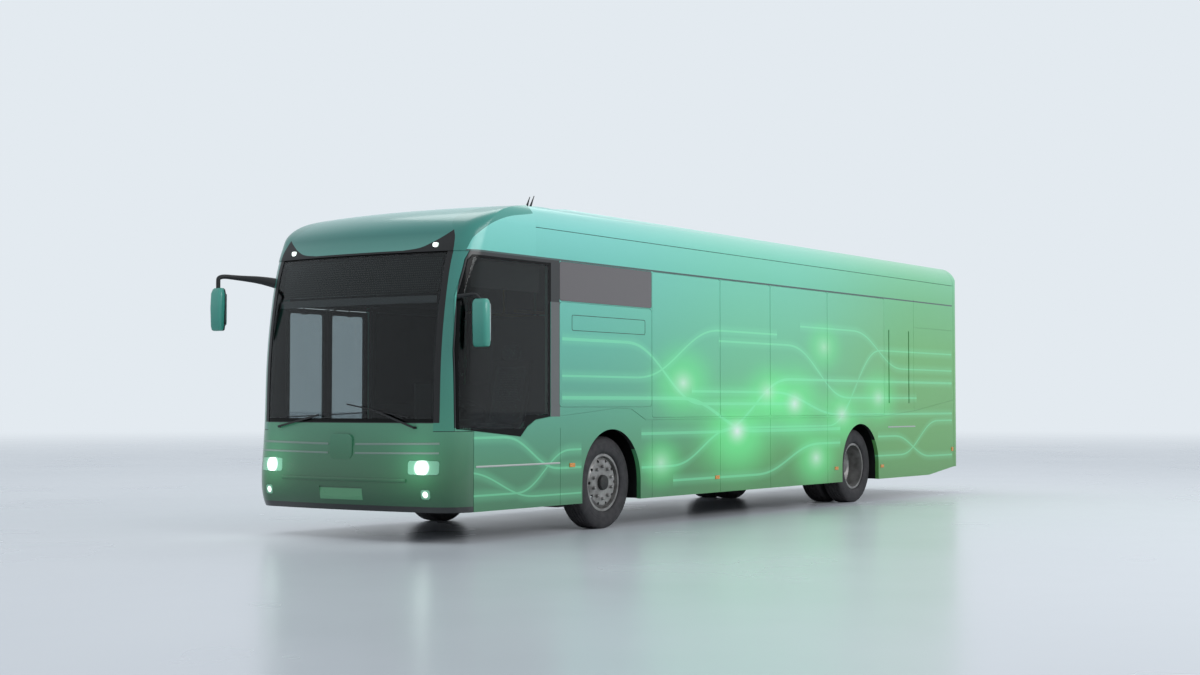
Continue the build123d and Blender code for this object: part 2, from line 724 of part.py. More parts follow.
def tyre(y, side, x=0):
    """A worn-smooth tyre with round shoulders and bulged side walls."""
    half = TYRE_WIDTH / 2
    bead = RIM_WIDTH / 2 - RIM_THICK - BEAD_FIT
    outer = ((bead, RIM_RADIUS), (bead, RIM_FLANGE + BEAD_FIT), (RIM_WIDTH / 2 + 2, RIM_FLANGE + 2),
             (half - 8, RIM_RADIUS + 34), (half, RIM_RADIUS + 84), (half - 2, RIM_RADIUS + 122),
             (half - 14, TYRE_RADIUS - 24), (half - 36, TYRE_RADIUS - 5), (half - 60, TYRE_RADIUS))
    inner = [(-offset, radius) for offset, radius in reversed(outer)]
    return turned((*outer, *inner), y, x, side=side)


def nuts(y, side, x, face):
    """The covered nuts in a ring on the wheel's face."""
    ring = []
    for index in range(NUT_COUNT):
        turn = 2 * pi * index / NUT_COUNT
        centre = (x + NUT_CIRCLE * sin(turn), side * (y + face), TYRE_RADIUS + NUT_CIRCLE * cos(turn))
        tip = (centre[0], side * (y + face + 26), centre[2])
        ring.append(rod(centre, tip, 15))
    return ring


def front_rim(side):
    """Steel front wheel: barrel, dished disc that stands near the outer face, hub and covered nuts."""
    half = RIM_WIDTH / 2
    barrel = RIM_RADIUS - BEAD_FIT
    inner = barrel - RIM_THICK
    section = ((-half, RIM_FLANGE), (-half + RIM_THICK, RIM_FLANGE), (-half + RIM_THICK, barrel),
               (half - RIM_THICK, barrel), (half - RIM_THICK, RIM_FLANGE), (half, RIM_FLANGE), (half, inner),
               (62, inner), (94, 232), (94, 80), (118, 72), (122, 0), (66, 0), (66, SPINDLE_RADIUS + BEARING_FIT),
               (-70, SPINDLE_RADIUS + BEARING_FIT), (-70, 112), (70, 112), (80, 225), (46, inner), (-half, inner))
    wheel = turned(section, FRONT_WHEEL_Y, side=side)
    for nut in nuts(FRONT_WHEEL_Y, side, 0, 94):
        wheel += nut
    for hole in hand_holes(side, 0):
        wheel -= hole
    return wheel


REAR_HUB = 138
HOLE_CIRCLE = 228
HOLE_RADIUS = 17


def hand_holes(side, x):
    """The ring of round hand holes near the disc's edge, one between each two nuts."""
    holes = []
    for index in range(NUT_COUNT):
        turn = 2 * pi * (index + 0.5) / NUT_COUNT
        spot = (x + HOLE_CIRCLE * sin(turn), TYRE_RADIUS + HOLE_CIRCLE * cos(turn))
        holes.append(rod((spot[0], side * (FRONT_WHEEL_Y - 250), spot[1]),
                         (spot[0], side * (FRONT_WHEEL_Y + RIM_WIDTH), spot[1]), HOLE_RADIUS))
    return holes


def rear_rims(side):
    """Twin rear wheels bolted back to back on one hub, so that the outer one shows a deep dish."""
    half = RIM_WIDTH / 2
    barrel = RIM_RADIUS - BEAD_FIT
    inner = barrel - RIM_THICK
    mate = -TWIN_SPACING / 2
    outer = ((half, inner), (half, RIM_FLANGE), (half - RIM_THICK, RIM_FLANGE), (half - RIM_THICK, barrel),
             (-half + RIM_THICK, barrel), (-half + RIM_THICK, RIM_FLANGE), (-half, RIM_FLANGE), (-half, inner),
             (-half - 10, inner - 10), (mate, 225), (mate, 120), (mate + 14, 120), (mate + 14, 218),
             (-half + 6, inner - 10), (-half + 16, inner))
    twin = turned(outer, FRONT_WHEEL_Y, REAR_AXLE_X, side=side)
    flipped = tuple((2 * mate - offset, radius) for offset, radius in outer)
    twin += turned(flipped, FRONT_WHEEL_Y, REAR_AXLE_X, side=side)
    hub = ((mate - 40, REAR_HUB), (mate + 60, REAR_HUB), (mate + 90, 110), (mate + 130, 100), (mate + 136, 0),
           (mate + 70, 0), (mate + 70, SPINDLE_RADIUS + 10 + BEARING_FIT), (mate - 40, SPINDLE_RADIUS + 10 + BEARING_FIT))
    twin += turned(hub, FRONT_WHEEL_Y, REAR_AXLE_X, side=side)
    for nut in nuts(FRONT_WHEEL_Y, side, REAR_AXLE_X, mate + 14):
        twin += nut
    return twin


def rear_tyres(side):
    return Compound([tyre(FRONT_WHEEL_Y - step, side, REAR_AXLE_X).solid() for step in (0, TWIN_SPACING)])


KINGPIN_RADIUS = 22
EYE_RADIUS = 45
EYE_HALF = 70
FORK = 45
YOKE_REACH = 75


def front_axle():
    """The dropped beam, its raised ends with the kingpin eyes, the spring seats and air springs."""
    z = TYRE_RADIUS
    beam = block((-60, 60), (-620, 620), (205, 285))
    for side in (1, -1):
        neck = ((600, 205), (790, z - EYE_HALF), (EYE_NECK, z - EYE_HALF), (EYE_NECK, z + EYE_HALF),
                (720, z + EYE_HALF), (580, z - 60), (545, 285), (520, 285), (520, 205))
        beam += prism("x", [(side * y, height) for y, height in neck], -50, 50)
        eye = rod((0, side * KINGPIN_Y, z - EYE_HALF), (0, side * KINGPIN_Y, z + EYE_HALF), EYE_RADIUS)
        beam += eye
        beam += rod((0, side * KINGPIN_Y, z - EYE_HALF - FORK), (0, side * KINGPIN_Y, z + EYE_HALF + FORK),
                    KINGPIN_RADIUS)
        beam += block((-80, 80), sorted((side * (SPRING_Y - 80), side * (SPRING_Y + 80))), (z - 80, SPRING_SEAT))
        beam += rod((0, side * SPRING_Y, SPRING_SEAT), (0, side * SPRING_Y, SPRING_TOP), SPRING_RADIUS)
    return beam


EYE_NECK = KINGPIN_Y - EYE_RADIUS + 15


def knuckle(side):
    """Steering knuckle: a fork round the kingpin eye, the spindle and the steering arm."""
    z = TYRE_RADIUS
    gap = 0.5
    y = KINGPIN_Y
    body = None
    for end in (1, -1):
        near = z + end * (EYE_HALF + gap)
        far = z + end * (EYE_HALF + FORK)
        cheek = rod((0, side * y, near), (0, side * y, far), EYE_RADIUS)
        cheek += block((-40, 40), sorted((side * y, side * (y + YOKE_REACH))), sorted((near, far)))
        body = cheek if body is None else body + cheek
    body += block((-40, 40), sorted((side * (y + EYE_RADIUS + 6), side * (y + YOKE_REACH))),
                  (z - EYE_HALF - FORK, z + EYE_HALF + FORK))
    body += rod((0, side * (y + YOKE_REACH - 10), z), (0, side * (FRONT_WHEEL_Y + 60), z), SPINDLE_RADIUS)
    arm_z = z - EYE_HALF - FORK
    body += block((-220, 0), sorted((side * (y - 20), side * (y + 20))), (arm_z, arm_z + 30))
    return body - rod((0, side * y, z - 200), (0, side * y, z + 200), KINGPIN_RADIUS + BEARING_FIT)


def rear_axle():
    """The driven rear axle: tube, central motor housing, spring arms, air springs and spindles."""
    z = TYRE_RADIUS
    x = REAR_AXLE_X
    mate_y = FRONT_WHEEL_Y - TWIN_SPACING / 2
    axle = rod((x, -mate_y + 60, z), (x, mate_y - 60, z), 90)
    axle += rod((x, -mate_y - 60, z), (x, mate_y + 60, z), SPINDLE_RADIUS + 10)
    axle += Pos(x, 0, z) * Sphere(210)
    axle += rod((x + 150, 0, z), (x + 620, 0, z), 150)
    for side in (1, -1):
        y = (RAIL_Y[0] + RAIL_Y[1]) / 2
        axle += block((x - 500, x + 500), sorted((side * RAIL_Y[0], side * RAIL_Y[1])), (z - 70, z - 20))
        for end in (-400, 400):
            axle += rod((x + end, side * y, z - 20), (x + end, side * y, RAIL_Z), 100)
    return axle


def drive_unit():
    """The drive's electronics between the rails and the cooling rack behind the lid, as plain blocks."""
    between = block((BODY_BACK + 350, BODY_BACK + 1500), (-RAIL_Y[0], RAIL_Y[0]), (470, PLATFORM_Z - FLOOR_THICK))
    rack = block((BODY_BACK + 160, BULKHEAD_X), (-800, 800), (PLATFORM_Z - FLOOR_THICK, 1480))
    return between + rack


def seat_profile(x, floor, deep=430, back=720):
    """Side outline of a seat: cushion and leaning back in one shell."""
    return ((x, floor + 400), (x + deep, floor + 420), (x + deep, floor + 470), (x + 60, floor + 450),
            (x - 60, floor + 450 + back), (x - 110, floor + 450 + back), (x - 20, floor + 400))


# Seat rows, columns: station, side, floor height
SEAT_ROWS = (
    (-1250, 1, FLOOR_Z), (-2050, 1, FLOOR_Z), (-2850, 1, FLOOR_Z), (-3650, 1, FLOOR_Z), (-1250, -1, FLOOR_Z),
    (-4300, -1, FLOOR_Z), (-6900, 1, PLATFORM_Z), (-6900, -1, PLATFORM_Z), (-7700, 1, PLATFORM_Z),
    (-7700, -1, PLATFORM_Z),
)
SEAT_INNER = 330
SEAT_OUTER = 1190


def passenger_seats():
    """Double seats in rows, each shell on one foot."""
    seats = []
    for x, side, floor in SEAT_ROWS:
        y = sorted((side * SEAT_INNER, side * SEAT_OUTER))
        seat = prism("y", seat_profile(x, floor), *y)
        foot_y = sorted((side * (SEAT_INNER + 300), side * (SEAT_OUTER - 300)))
        seat += block((x + 60, x + 300), foot_y, (floor, floor + 410))
        seats.append(seat.solid())
    return Compound(seats)


DRIVER_Y = 690
DRIVER_X = 1120


def driver_seat():
    """The driver's seat: pedestal, cushion, back and head rest."""
    x = DRIVER_X
    seat = prism("y", ((x, 980), (x + 480, 1010), (x + 480, 1090), (x + 60, 1080), (x - 110, 1740), (x - 200, 1740),
                       (x - 40, 980)), DRIVER_Y - 240, DRIVER_Y + 240)
    seat += block((x + 60, x + 400), (DRIVER_Y - 170, DRIVER_Y + 170), (CAB_FLOOR_Z, 985))
    seat += block((x - 195, x - 115), (DRIVER_Y - 130, DRIVER_Y + 130), (1740, 1910))
    return seat


def dashboard():
    """The dashboard with its hood, the steering column and the steering wheel."""
    outline = ((CAB_FRONT_X, FLOOR_Z), (2500, FLOOR_Z), (2500, 1050), (2300, 1130), (1990, 1150), (1900, 1060),
               (2060, 900), (CAB_FRONT_X, 760))
    dash = prism("y", outline, DASH_INNER_Y, DASH_OUTER_Y)
    dash += block((LEDGE_X, LEDGE_FRONT_X), (-DASH_OUTER_Y, DASH_INNER_Y), (FLOOR_Z, LEDGE_Z))
    wheel_at = Plane(origin=(WHEEL_HUB[0], DRIVER_Y, WHEEL_HUB[1]), z_dir=(-0.45, 0, 0.9))
    dash += wheel_at * Torus(225, 16)
    dash += wheel_at * Pos(0, 0, -10) * Cylinder(60, 40)
    for turn in (90, 210, 330):
        dash += wheel_at * Rot(0, 0, turn) * Pos(115, 0, -5) * Box(230, 34, 16)
    dash += rod((WHEEL_HUB[0], DRIVER_Y, WHEEL_HUB[1]), (2080, DRIVER_Y, 1000), 35)
    return dash


WHEEL_HUB = (1760, 1270)
DASH_INNER_Y = 130
DASH_OUTER_Y = 1000
LEDGE_X = 2340
LEDGE_FRONT_X = 2580
LEDGE_Z = 900


def cab_partition():
    """The screen behind the driver and the half door beside them."""
    inner = HALF_WIDTH - WALL
    screen = block((CAB_BACK_X, CAB_BACK_X + 30), (CAB_INNER_Y, inner - 10), (HOUSING_TOP + 10, 2200))
    screen -= block((0, 1000), (CAB_INNER_Y + 80, inner - 90), (1500, 2120))
    screen += block((CAB_BACK_X + 5, CAB_BACK_X + 25), (CAB_INNER_Y, inner - 10), (1500, 2120))
    screen += block((CAB_BACK_X, CAB_BACK_X + 30), (CAB_INNER_Y, HOUSINGS[0][3] - HOUSING_WALL), (CAB_FLOOR_Z, 1090))
    screen += block((CAB_BACK_X, 1850), (CAB_INNER_Y, CAB_INNER_Y + 30), (CAB_FLOOR_Z, 1500))
    return screen


# Stanchions from floor to ceiling, columns: station, side offset, floor height
STANCHIONS = ((560, -380, FLOOR_Z), (-720, 420, FLOOR_Z), (-1950, -700, FLOOR_Z), (-3650, -700, FLOOR_Z))
RAIL_RADIUS = 17
RAIL_AISLE_Y = 300
RAIL_HEIGHT = 2280
RAIL_ENDS_X = (-8200, 400)
RAIL_DROPS_X = (-8100, -5400, -2800, -200)


def grab_rails():
    """Stanchions, and two long ceiling rails that tie them."""
    top = ROOF_SKIN_Z[0]
    rails = None
    for side in (1, -1):
        y = side * RAIL_AISLE_Y
        run = rod((RAIL_ENDS_X[0], y, RAIL_HEIGHT), (RAIL_ENDS_X[1], y, RAIL_HEIGHT), RAIL_RADIUS)
        for x in RAIL_DROPS_X:
            run += rod((x, y, RAIL_HEIGHT), (x, y, top), RAIL_RADIUS - 3)
        rails = run if rails is None else rails + run
    pieces = list(rails.solids())
    for x, y, floor in STANCHIONS:
        pieces.append(rod((x, y, floor), (x, y, top), RAIL_RADIUS).solid())
    return Compound(pieces)


def left_mirror():
    """The green door-side mirror on its short black arm."""
    shell = prism("y", ((2380, 1850), (2450, 1820), (2560, 1850), (2590, 2200), (2560, 2260), (2420, 2270), (2370, 2220)),
                  MIRROR_TIP_Y - MIRROR_WIDTH, MIRROR_TIP_Y)
    arm = bent_tube([(2530, 1080, 2290), (2500, 1330, 2300), (2480, 1500, 2200)], 16, 60)
    return shell + (arm - lower_body(0))


def right_mirror():
    """The mirror that hangs ahead of the windscreen on a long curved arm."""
    shell = prism("x", ((-MIRROR_TIP_Y, 2060), (-MIRROR_TIP_Y + 40, 2020), (-MIRROR_TIP_Y + 190, 2050),
                        (-MIRROR_TIP_Y + 200, 2400), (-MIRROR_TIP_Y + 150, 2440), (-MIRROR_TIP_Y + 20, 2420)),
                  RIGHT_MIRROR_X - 150, RIGHT_MIRROR_X)
    arm = bent_tube([(2430, -1080, 2520), (2520, -1420, 2560), (2840, -1550, 2540), (2850, -1550, 2400)], 20, 70)
    return shell + (arm - lower_body(0))


# Wipers, columns: pivot in Y and Z, where the arm meets the blade, the blade's two ends
WIPERS = (
    ((869, 1077), (420, 1235), (780, 1175), (60, 1295)),
    ((-869, 1077), (-300, 1190), (-880, 1165), (280, 1215)),
)
WIPER_HALF = 9
WIPER_LIFT = 22
WIPER_ARM = 14
WIPER_FIT = 0.3


def strip(start, end, half):
    """A straight strip across the front, as a prism along X between two points in Y and Z."""
    length = sqrt((end[0] - start[0]) ** 2 + (end[1] - start[1]) ** 2)
    across = (-(end[1] - start[1]) / length * half, (end[0] - start[0]) / length * half)
    outline = [(start[0] + across[0], start[1] + across[1]), (end[0] + across[0], end[1] + across[1]),
               (end[0] - across[0], end[1] - across[1]), (start[0] - across[0], start[1] - across[1])]
    return prism("x", outline, FLAP_X, FRONT_OVERHANG + 100)


def wipers():
    """Two wipers parked low on the windscreen; arm and blade both follow its curve."""
    near = lower_body(-WIPER_LIFT)
    blades = near - lower_body(SEAM - WIPER_FIT)
    arms = lower_body(-WIPER_LIFT - WIPER_ARM) - near
    pieces = []
    for pivot, joint, low_end, high_end in WIPERS:
        wiper = blades & strip(low_end, high_end, WIPER_HALF / 2)
        wiper += arms & strip(pivot, joint, WIPER_HALF)
        spindle = rod((FLAP_X, *pivot), (FRONT_OVERHANG, *pivot), WIPER_HALF + 3)
        wiper += spindle & (near - lower_body(0))
        pieces.append(wiper.solid())
    return Compound(pieces)


# Small lamps on the skin, columns: station, height, length, height of the lens
SIDE_MARKERS = ((727, 684, 90, 40), (-2156, 462, 90, 40), (-5182, 472, 90, 40), (-6550, 461, 90, 40),
                (-8950, 640, 60, 60))


def side_markers():
    """Orange side markers on both sides, proud of the skin."""
    pieces = []
    for x, z, length, height in SIDE_MARKERS:
        for side in (1, -1):
            y = sorted((side * HALF_WIDTH, side * (HALF_WIDTH + 8)))
            pieces.append(block((x - length / 2, x + length / 2), y, (z - height / 2, z + height / 2)).solid())
    return Compound(pieces)


def hinge_x(jamb, way):
    """Station of a door pillar; way is 1 where the jamb lies ahead of its leaf."""
    return jamb + way * (REACH - LEAF_TRAIL - JAMB_GAP)


def leaf_pivots(jamb, way):
    """Pillar, leaf pivot and roller of one closed leaf, each as x and y."""
    pillar = (hinge_x(jamb, way), TRACK_Y)
    pivot = (pillar[0] - way * REACH, TRACK_Y - LEAF_OFFSET)
    roller = (pillar[0] - 2 * way * REACH, TRACK_Y)
    return pillar, pivot, roller


def door_pillar(jamb, way):
    """The turning pillar inside the jamb with its lower and upper arm and their pivot pins."""
    (px, py), (qx, qy), _ = leaf_pivots(jamb, way)
    low = FLOOR_Z + ARM_LIFT
    high = LEAF_TOP + ARM_LIFT
    pillar = rod((px, py, FLOOR_Z), (px, py, HEADER_Z), PILLAR_RADIUS)
    for z, pin_low, pin_high in ((low, low, LEAF_BOTTOM + PIVOT_DEPTH - 10), (high, LEAF_TOP - PIVOT_DEPTH + 10, high)):
        length = LEAF_ARM
        turn = degrees(atan2(qy - py, qx - px))
        arm = Pos((px + qx) / 2, (py + qy) / 2, z + ARM_THICK / 2) * Rot(0, 0, turn) * Box(length, 2 * ARM_HALF, ARM_THICK)
        arm += rod((qx, qy, z), (qx, qy, z + ARM_THICK), ARM_HALF)
        arm += rod((qx, qy, pin_low), (qx, qy, pin_high), PIVOT_RADIUS)
        pillar += arm
    return pillar


def leaf_edges(jamb, way):
    """Leading and trailing edge of one leaf as low and high x."""
    trail = jamb - way * JAMB_GAP
    length = (DOORWAYS[0][1] - DOORWAYS[0][2]) / 2 - JAMB_GAP - CENTRE_GAP
    return sorted((trail, trail - way * length))


def leaf_window(jamb, way, margin):
    """Outline of the leaf's glass, inset by a margin."""
    low, high = leaf_edges(jamb, way)
    return rectangle((high - margin, low + margin, LEAF_BOTTOM + margin, LEAF_TOP - margin))


def door_leaf(jamb, way):
    """One leaf: frame round its glass, sockets for the arms' pins, and the roller on its bracket."""
    (_, _), (qx, qy), (rx, ry) = leaf_pivots(jamb, way)
    low, high = leaf_edges(jamb, way)
    y = (-HALF_WIDTH, -HALF_WIDTH + LEAF_THICK)
    leaf = block((low, high), y, (LEAF_BOTTOM, LEAF_TOP))
    leaf -= prism("y", leaf_window(jamb, way, LEAF_FRAME - 20), -FAR, -HALF_WIDTH + PANE, 30)
    leaf -= prism("y", leaf_window(jamb, way, LEAF_FRAME + 10), -FAR, FAR, 30)
    boss_z = 60
    for z in (LEAF_BOTTOM, LEAF_TOP - boss_z):
        leaf += block((qx - 25, qx + 25), (y[0] + PANE, y[1]), (z, z + boss_z))
    for z in (LEAF_BOTTOM, LEAF_TOP - PIVOT_DEPTH):
        leaf -= rod((qx, qy, z), (qx, qy, z + PIVOT_DEPTH), PIVOT_RADIUS + PIVOT_FIT)
    leaf += block((rx - 15, rx + 15), (y[1] - 5, ry + 15), (LEAF_TOP - 18, LEAF_TOP))
    leaf += rod((rx, ry, LEAF_TOP - 18), (rx, ry, HEADER_Z + TRACK_DEPTH - 10), PIVOT_RADIUS)
    return leaf


def door_glass(jamb, way):
    """The pane bonded into one leaf."""
    return prism("y", leaf_window(jamb, way, LEAF_FRAME - 20 + PANE_GAP), -HALF_WIDTH, -HALF_WIDTH + PANE, 30)


def leaves():
    """Every leaf as name, jamb and way."""
    rows = []
    for name, front, rear in DOORWAYS:
        rows += [(f"{name}_door_fore", front, 1), (f"{name}_door_aft", rear, -1)]
    return rows


def make_nodes():
    """Every piece of the bus by name."""
    lower = lower_body(0) - lower_body(WALL)
    upper = upper_body(0) - upper_body(WALL)
    nodes = {
        "floor_frame": floor_frame(),
        "rear_platform": rear_platform(),
        "cab_plinth": cab_plinth(),
        "side_wall_left": side_wall_left(lower),
        "side_wall_right": side_wall_right(lower),
        "roof_skin": roof(),
        "roof_fairings": roof_fairings(upper),
        "roof_cap": roof_cap(upper),
        "front_arch": front_arch(lower, upper) + glass_frame() + foot_posts(),
        "front_panel": front_panel(lower),
        "rear_wall": rear_wall(lower, upper),
        "rear_lid": rear_lid(lower),
        "windscreen": windscreen(),
        "destination_sign": destination_sign(),
        "side_glass_left": side_glass_left(),
        "side_glass_right": side_glass_right(),
        "wheel_housings": wheel_housings(),
        "front_axle": front_axle(),
        "rear_axle": rear_axle(),
        "drive_unit": drive_unit(),
        "dashboard": dashboard(),
        "driver_seat": driver_seat(),
        "cab_partition": cab_partition(),
        "passenger_seats": passenger_seats(),
        "grab_rails": grab_rails(),
        "battery_packs": battery_packs(),
        "roof_aircon": roof_aircon(),
        "mirror_left": left_mirror(),
        "mirror_right": right_mirror(),
        "wipers": wipers(),
        "headlamps": headlamps(),
        "side_markers": side_markers(),
        "tail_lamps": tail_lamps(),
    }
    for name, side in (("left", 1), ("right", -1)):
        nodes[f"knuckle_{name}"] = knuckle(side)
        nodes[f"front_rim_{name}"] = front_rim(side)
        nodes[f"front_tyre_{name}"] = tyre(FRONT_WHEEL_Y, side)
        nodes[f"rear_rims_{name}"] = rear_rims(side)
        nodes[f"rear_tyres_{name}"] = rear_tyres(side)
    for name, jamb, way in leaves():
        nodes[f"{name}_pillar"] = door_pillar(jamb, way)
        nodes[f"{name}_leaf"] = door_leaf(jamb, way)
        nodes[f"{name}_glass"] = door_glass(jamb, way)
    return nodes


def main():
    """Write each piece, moved so that the origin is under the middle of the bus."""
    os.makedirs("parts", exist_ok=True)
    for name, shape in make_nodes().items():
        export_step(Pos(-ORIGIN_X, 0, 0) * shape, f"parts/{name}.step")


if __name__ == "__main__":
    main()
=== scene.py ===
import math
import bmesh
import bpy
from mathutils import Matrix, Vector
from mathutils.bvhtree import BVHTree


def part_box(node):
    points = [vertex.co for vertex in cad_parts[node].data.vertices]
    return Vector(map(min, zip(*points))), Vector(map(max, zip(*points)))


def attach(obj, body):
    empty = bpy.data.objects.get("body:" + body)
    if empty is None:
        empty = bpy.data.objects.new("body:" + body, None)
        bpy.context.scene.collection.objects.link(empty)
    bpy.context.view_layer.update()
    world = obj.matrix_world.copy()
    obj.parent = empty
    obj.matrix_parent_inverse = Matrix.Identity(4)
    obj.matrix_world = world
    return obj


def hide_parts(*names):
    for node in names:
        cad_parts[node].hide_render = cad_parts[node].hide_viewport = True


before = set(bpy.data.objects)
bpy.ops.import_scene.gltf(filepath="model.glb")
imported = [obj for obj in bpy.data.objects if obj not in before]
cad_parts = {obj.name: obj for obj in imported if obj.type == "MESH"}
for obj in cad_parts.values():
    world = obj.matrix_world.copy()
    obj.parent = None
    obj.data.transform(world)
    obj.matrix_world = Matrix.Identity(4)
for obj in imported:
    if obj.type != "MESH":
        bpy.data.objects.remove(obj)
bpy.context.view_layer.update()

# Camera: stands ahead of the bus's left front corner at eye height and looks back along its left side.
# Stations are measured from the front axle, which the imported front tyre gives.
tyre_low, tyre_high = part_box("front_tyre_left")
AXLE_X = (tyre_low.x + tyre_high.x) / 2
EYE_AHEAD, EYE_LEFT, EYE_HEIGHT = 15.101, 11.388, 1.297
HEADING, RISE = 214.211, 2.186
SENSOR_WIDTH, LENS = 36, 52.28


def placed(name, data):
    """An object of some data, linked into the scene."""
    made = bpy.data.objects.new(name, data)
    bpy.context.scene.collection.objects.link(made)
    return made


optics = bpy.data.cameras.new("photo_view")
optics.sensor_width, optics.lens = SENSOR_WIDTH, LENS
camera = placed("photo_view", optics)
camera.location = (AXLE_X + EYE_AHEAD, EYE_LEFT, EYE_HEIGHT)
camera.rotation_euler = (math.radians(90 + RISE), 0, math.radians(HEADING - 90))
bpy.context.scene.camera = camera
bpy.context.scene.view_settings.view_transform = "Standard"


# Studio: a pale polished floor that takes the object's shadow and a faint reflection and fades into the pale
# backdrop far out, with one large soft box along the left side and a weaker one over the roof.
def linear(code):
    """Turns an sRGB hex colour into the linear colour that a shader socket takes."""
    parts = [int(code[place:place + 2], 16) / 255 for place in (1, 3, 5)]
    return [*(part / 12.92 if part <= 0.04045 else ((part + 0.055) / 1.055) ** 2.4 for part in parts), 1.0]


def add(tree, kind, inputs=None, **settings):
    """Adds one node with its settings, its socket values and its links from other nodes' outputs."""
    node = tree.nodes.new(kind)
    for name, value in settings.items():
        setattr(node, name, value)
    for name, value in (inputs or {}).items():
        if isinstance(value, bpy.types.NodeSocket):
            tree.links.new(value, node.inputs[name])
        else:
            node.inputs[name].default_value = value
    return node


def material(name):
    """An empty material, its tree, and the place that it is read at, whole and as its axes."""
    made = bpy.data.materials.new(name)
    made.use_nodes = True
    tree = made.node_tree
    tree.nodes.clear()
    place = add(tree, "ShaderNodeTexCoord").outputs["Object"]
    return made, tree, place, add(tree, "ShaderNodeSeparateXYZ", {0: place}).outputs


def surface(tree, inputs):
    """Closes a tree with one Principled shader."""
    shader = add(tree, "ShaderNodeBsdfPrincipled", inputs)
    add(tree, "ShaderNodeOutputMaterial", {"Surface": shader.outputs["BSDF"]})


def reckoned(tree, operation, *values):
    """One step of arithmetic."""
    return add(tree, "ShaderNodeMath", dict(enumerate(values)), operation=operation).outputs[0]


def ranged(tree, value, low, high, to_low=0.0, to_high=1.0, easing="LINEAR"):
    """A value moved from one range to another and held at its ends."""
    inputs = {"Value": value, "From Min": low, "From Max": high, "To Min": to_low, "To Max": to_high}
    return add(tree, "ShaderNodeMapRange", inputs, interpolation_type=easing).outputs[0]


FLOOR_SIZE = 400
FADE_NEAR, FADE_FAR = 16, 70
BACKDROP = "#E3EAF0"
FLOOR_ROUGHNESS, FLOOR_IOR, MOTTLE_SCALE = (0.2, 0.32), 1.35, 0.35
floor_mesh = bpy.data.meshes.new("studio_floor")
half = FLOOR_SIZE / 2
floor_mesh.from_pydata([(-half, -half, 0), (half, -half, 0), (half, half, 0), (-half, half, 0)], [], [(0, 1, 2, 3)])
studio_floor = placed("studio_floor", floor_mesh)
polished_concrete, tree, place, _ = material("polished_pale_concrete")
mottle = add(tree, "ShaderNodeTexNoise", {"Vector": place, "Scale": MOTTLE_SCALE, "Detail": 4.0}).outputs["Fac"]
concrete = add(tree, "ShaderNodeBsdfPrincipled", {"Base Color": linear("#DDE0E4"), "IOR": FLOOR_IOR,
                                                  "Roughness": ranged(tree, mottle, 0.0, 1.0, *FLOOR_ROUGHNESS)})
away = add(tree, "ShaderNodeVectorMath", {0: place}, operation="LENGTH").outputs["Value"]
fade = ranged(tree, away, FADE_NEAR, FADE_FAR, easing="SMOOTHSTEP")
share = reckoned(tree, "MULTIPLY", fade, add(tree, "ShaderNodeLightPath").outputs["Is Camera Ray"])
paper = add(tree, "ShaderNodeEmission", {"Color": linear(BACKDROP)})
mixed = add(tree, "ShaderNodeMixShader", {0: share, 1: concrete.outputs[0], 2: paper.outputs[0]})
add(tree, "ShaderNodeOutputMaterial", {"Surface": mixed.outputs[0]})
floor_mesh.materials.append(polished_concrete)

world = bpy.data.worlds.new("soft_studio")
bpy.context.scene.world = world
world.use_nodes = True
tree = world.node_tree
tree.nodes.clear()
path = add(tree, "ShaderNodeLightPath")
seen = path.outputs["Is Camera Ray"]
for kind in ("Is Transmission Ray", "Is Glossy Ray"):
    seen = reckoned(tree, "MAXIMUM", seen, path.outputs[kind])
backdrop = add(tree, "ShaderNodeBackground", {"Color": linear(BACKDROP), "Strength": 1.0})
fill = add(tree, "ShaderNodeBackground", {"Color": linear("#EAF4FF"), "Strength": 0.62})
either = add(tree, "ShaderNodeMixShader", {0: seen, 1: fill.outputs[0], 2: backdrop.outputs[0]})
add(tree, "ShaderNodeOutputWorld", {"Surface": either.outputs[0]})

SOFT_BOXES = (
    # name, station, left, height, aimed at station, left, height, width, length, watts
    ("side_soft_box", -3.0, 17.0, 9.0, -3.0, 0.0, 1.4, 18.0, 6.0, 1250),
    ("roof_soft_box", -8.0, -4.0, 14.0, -3.0, 0.0, 2.5, 12.0, 8.0, 500),
)
for name, x, y, z, aim_x, aim_y, aim_z, width, length, watts in SOFT_BOXES:
    lamp = bpy.data.lights.new(name, "AREA")
    lamp.shape, lamp.size, lamp.size_y, lamp.energy = "RECTANGLE", width, length, watts
    box_light = placed(name, lamp)
    box_light.location = (AXLE_X + x, y, z)
    way = Vector((aim_x - x, aim_y - y, aim_z - z))
    box_light.rotation_euler = way.to_track_quat("-Z", "Y").to_euler()


# Side panels and fairings: aluminium panels under a printed vinyl wrap with a satin gloss coat. The print
# fades from teal at the roof to leaf green at the skirt and at the rear, and its palest stops along the fairings'
# rounded top are painted highlight of the sky. Pale ribbons run along it in long soft bends, with light spots
# where they meet. The panels' inner faces and undersides are painted near-black, a painted shade for the dim
# inside and underside of the bus.
WRAP_LOW, WRAP_HIGH = 0.3, 3.3
# The stops from 3.05 up, much paler than the rest, are painted highlight on the fairings' rounded top.
WRAP_COLUMNS = (
    # station, then height and colour from the skirt up
    (1.0, ((0.3, "#3F7A54"), (0.7, "#4A8C66"), (1.2, "#56A387"), (2.0, "#5FB8A2"), (2.75, "#6FC9BA"),
           (3.05, "#82D8CC"), (3.3, "#A2E6DC"))),
    (-3.5, ((0.3, "#47884A"), (0.7, "#56A05A"), (1.3, "#67BE85"), (2.0, "#6AC596"), (2.75, "#72CFAE"),
            (3.05, "#7FD8BB"), (3.3, "#A2E8D2"))),
    (-8.0, ((0.3, "#5C9A50"), (0.7, "#66A85B"), (1.3, "#6DB266"), (2.0, "#6CB869"), (2.75, "#70C284"),
            (3.05, "#7CCF9A"), (3.3, "#9CE0B6"))),
)
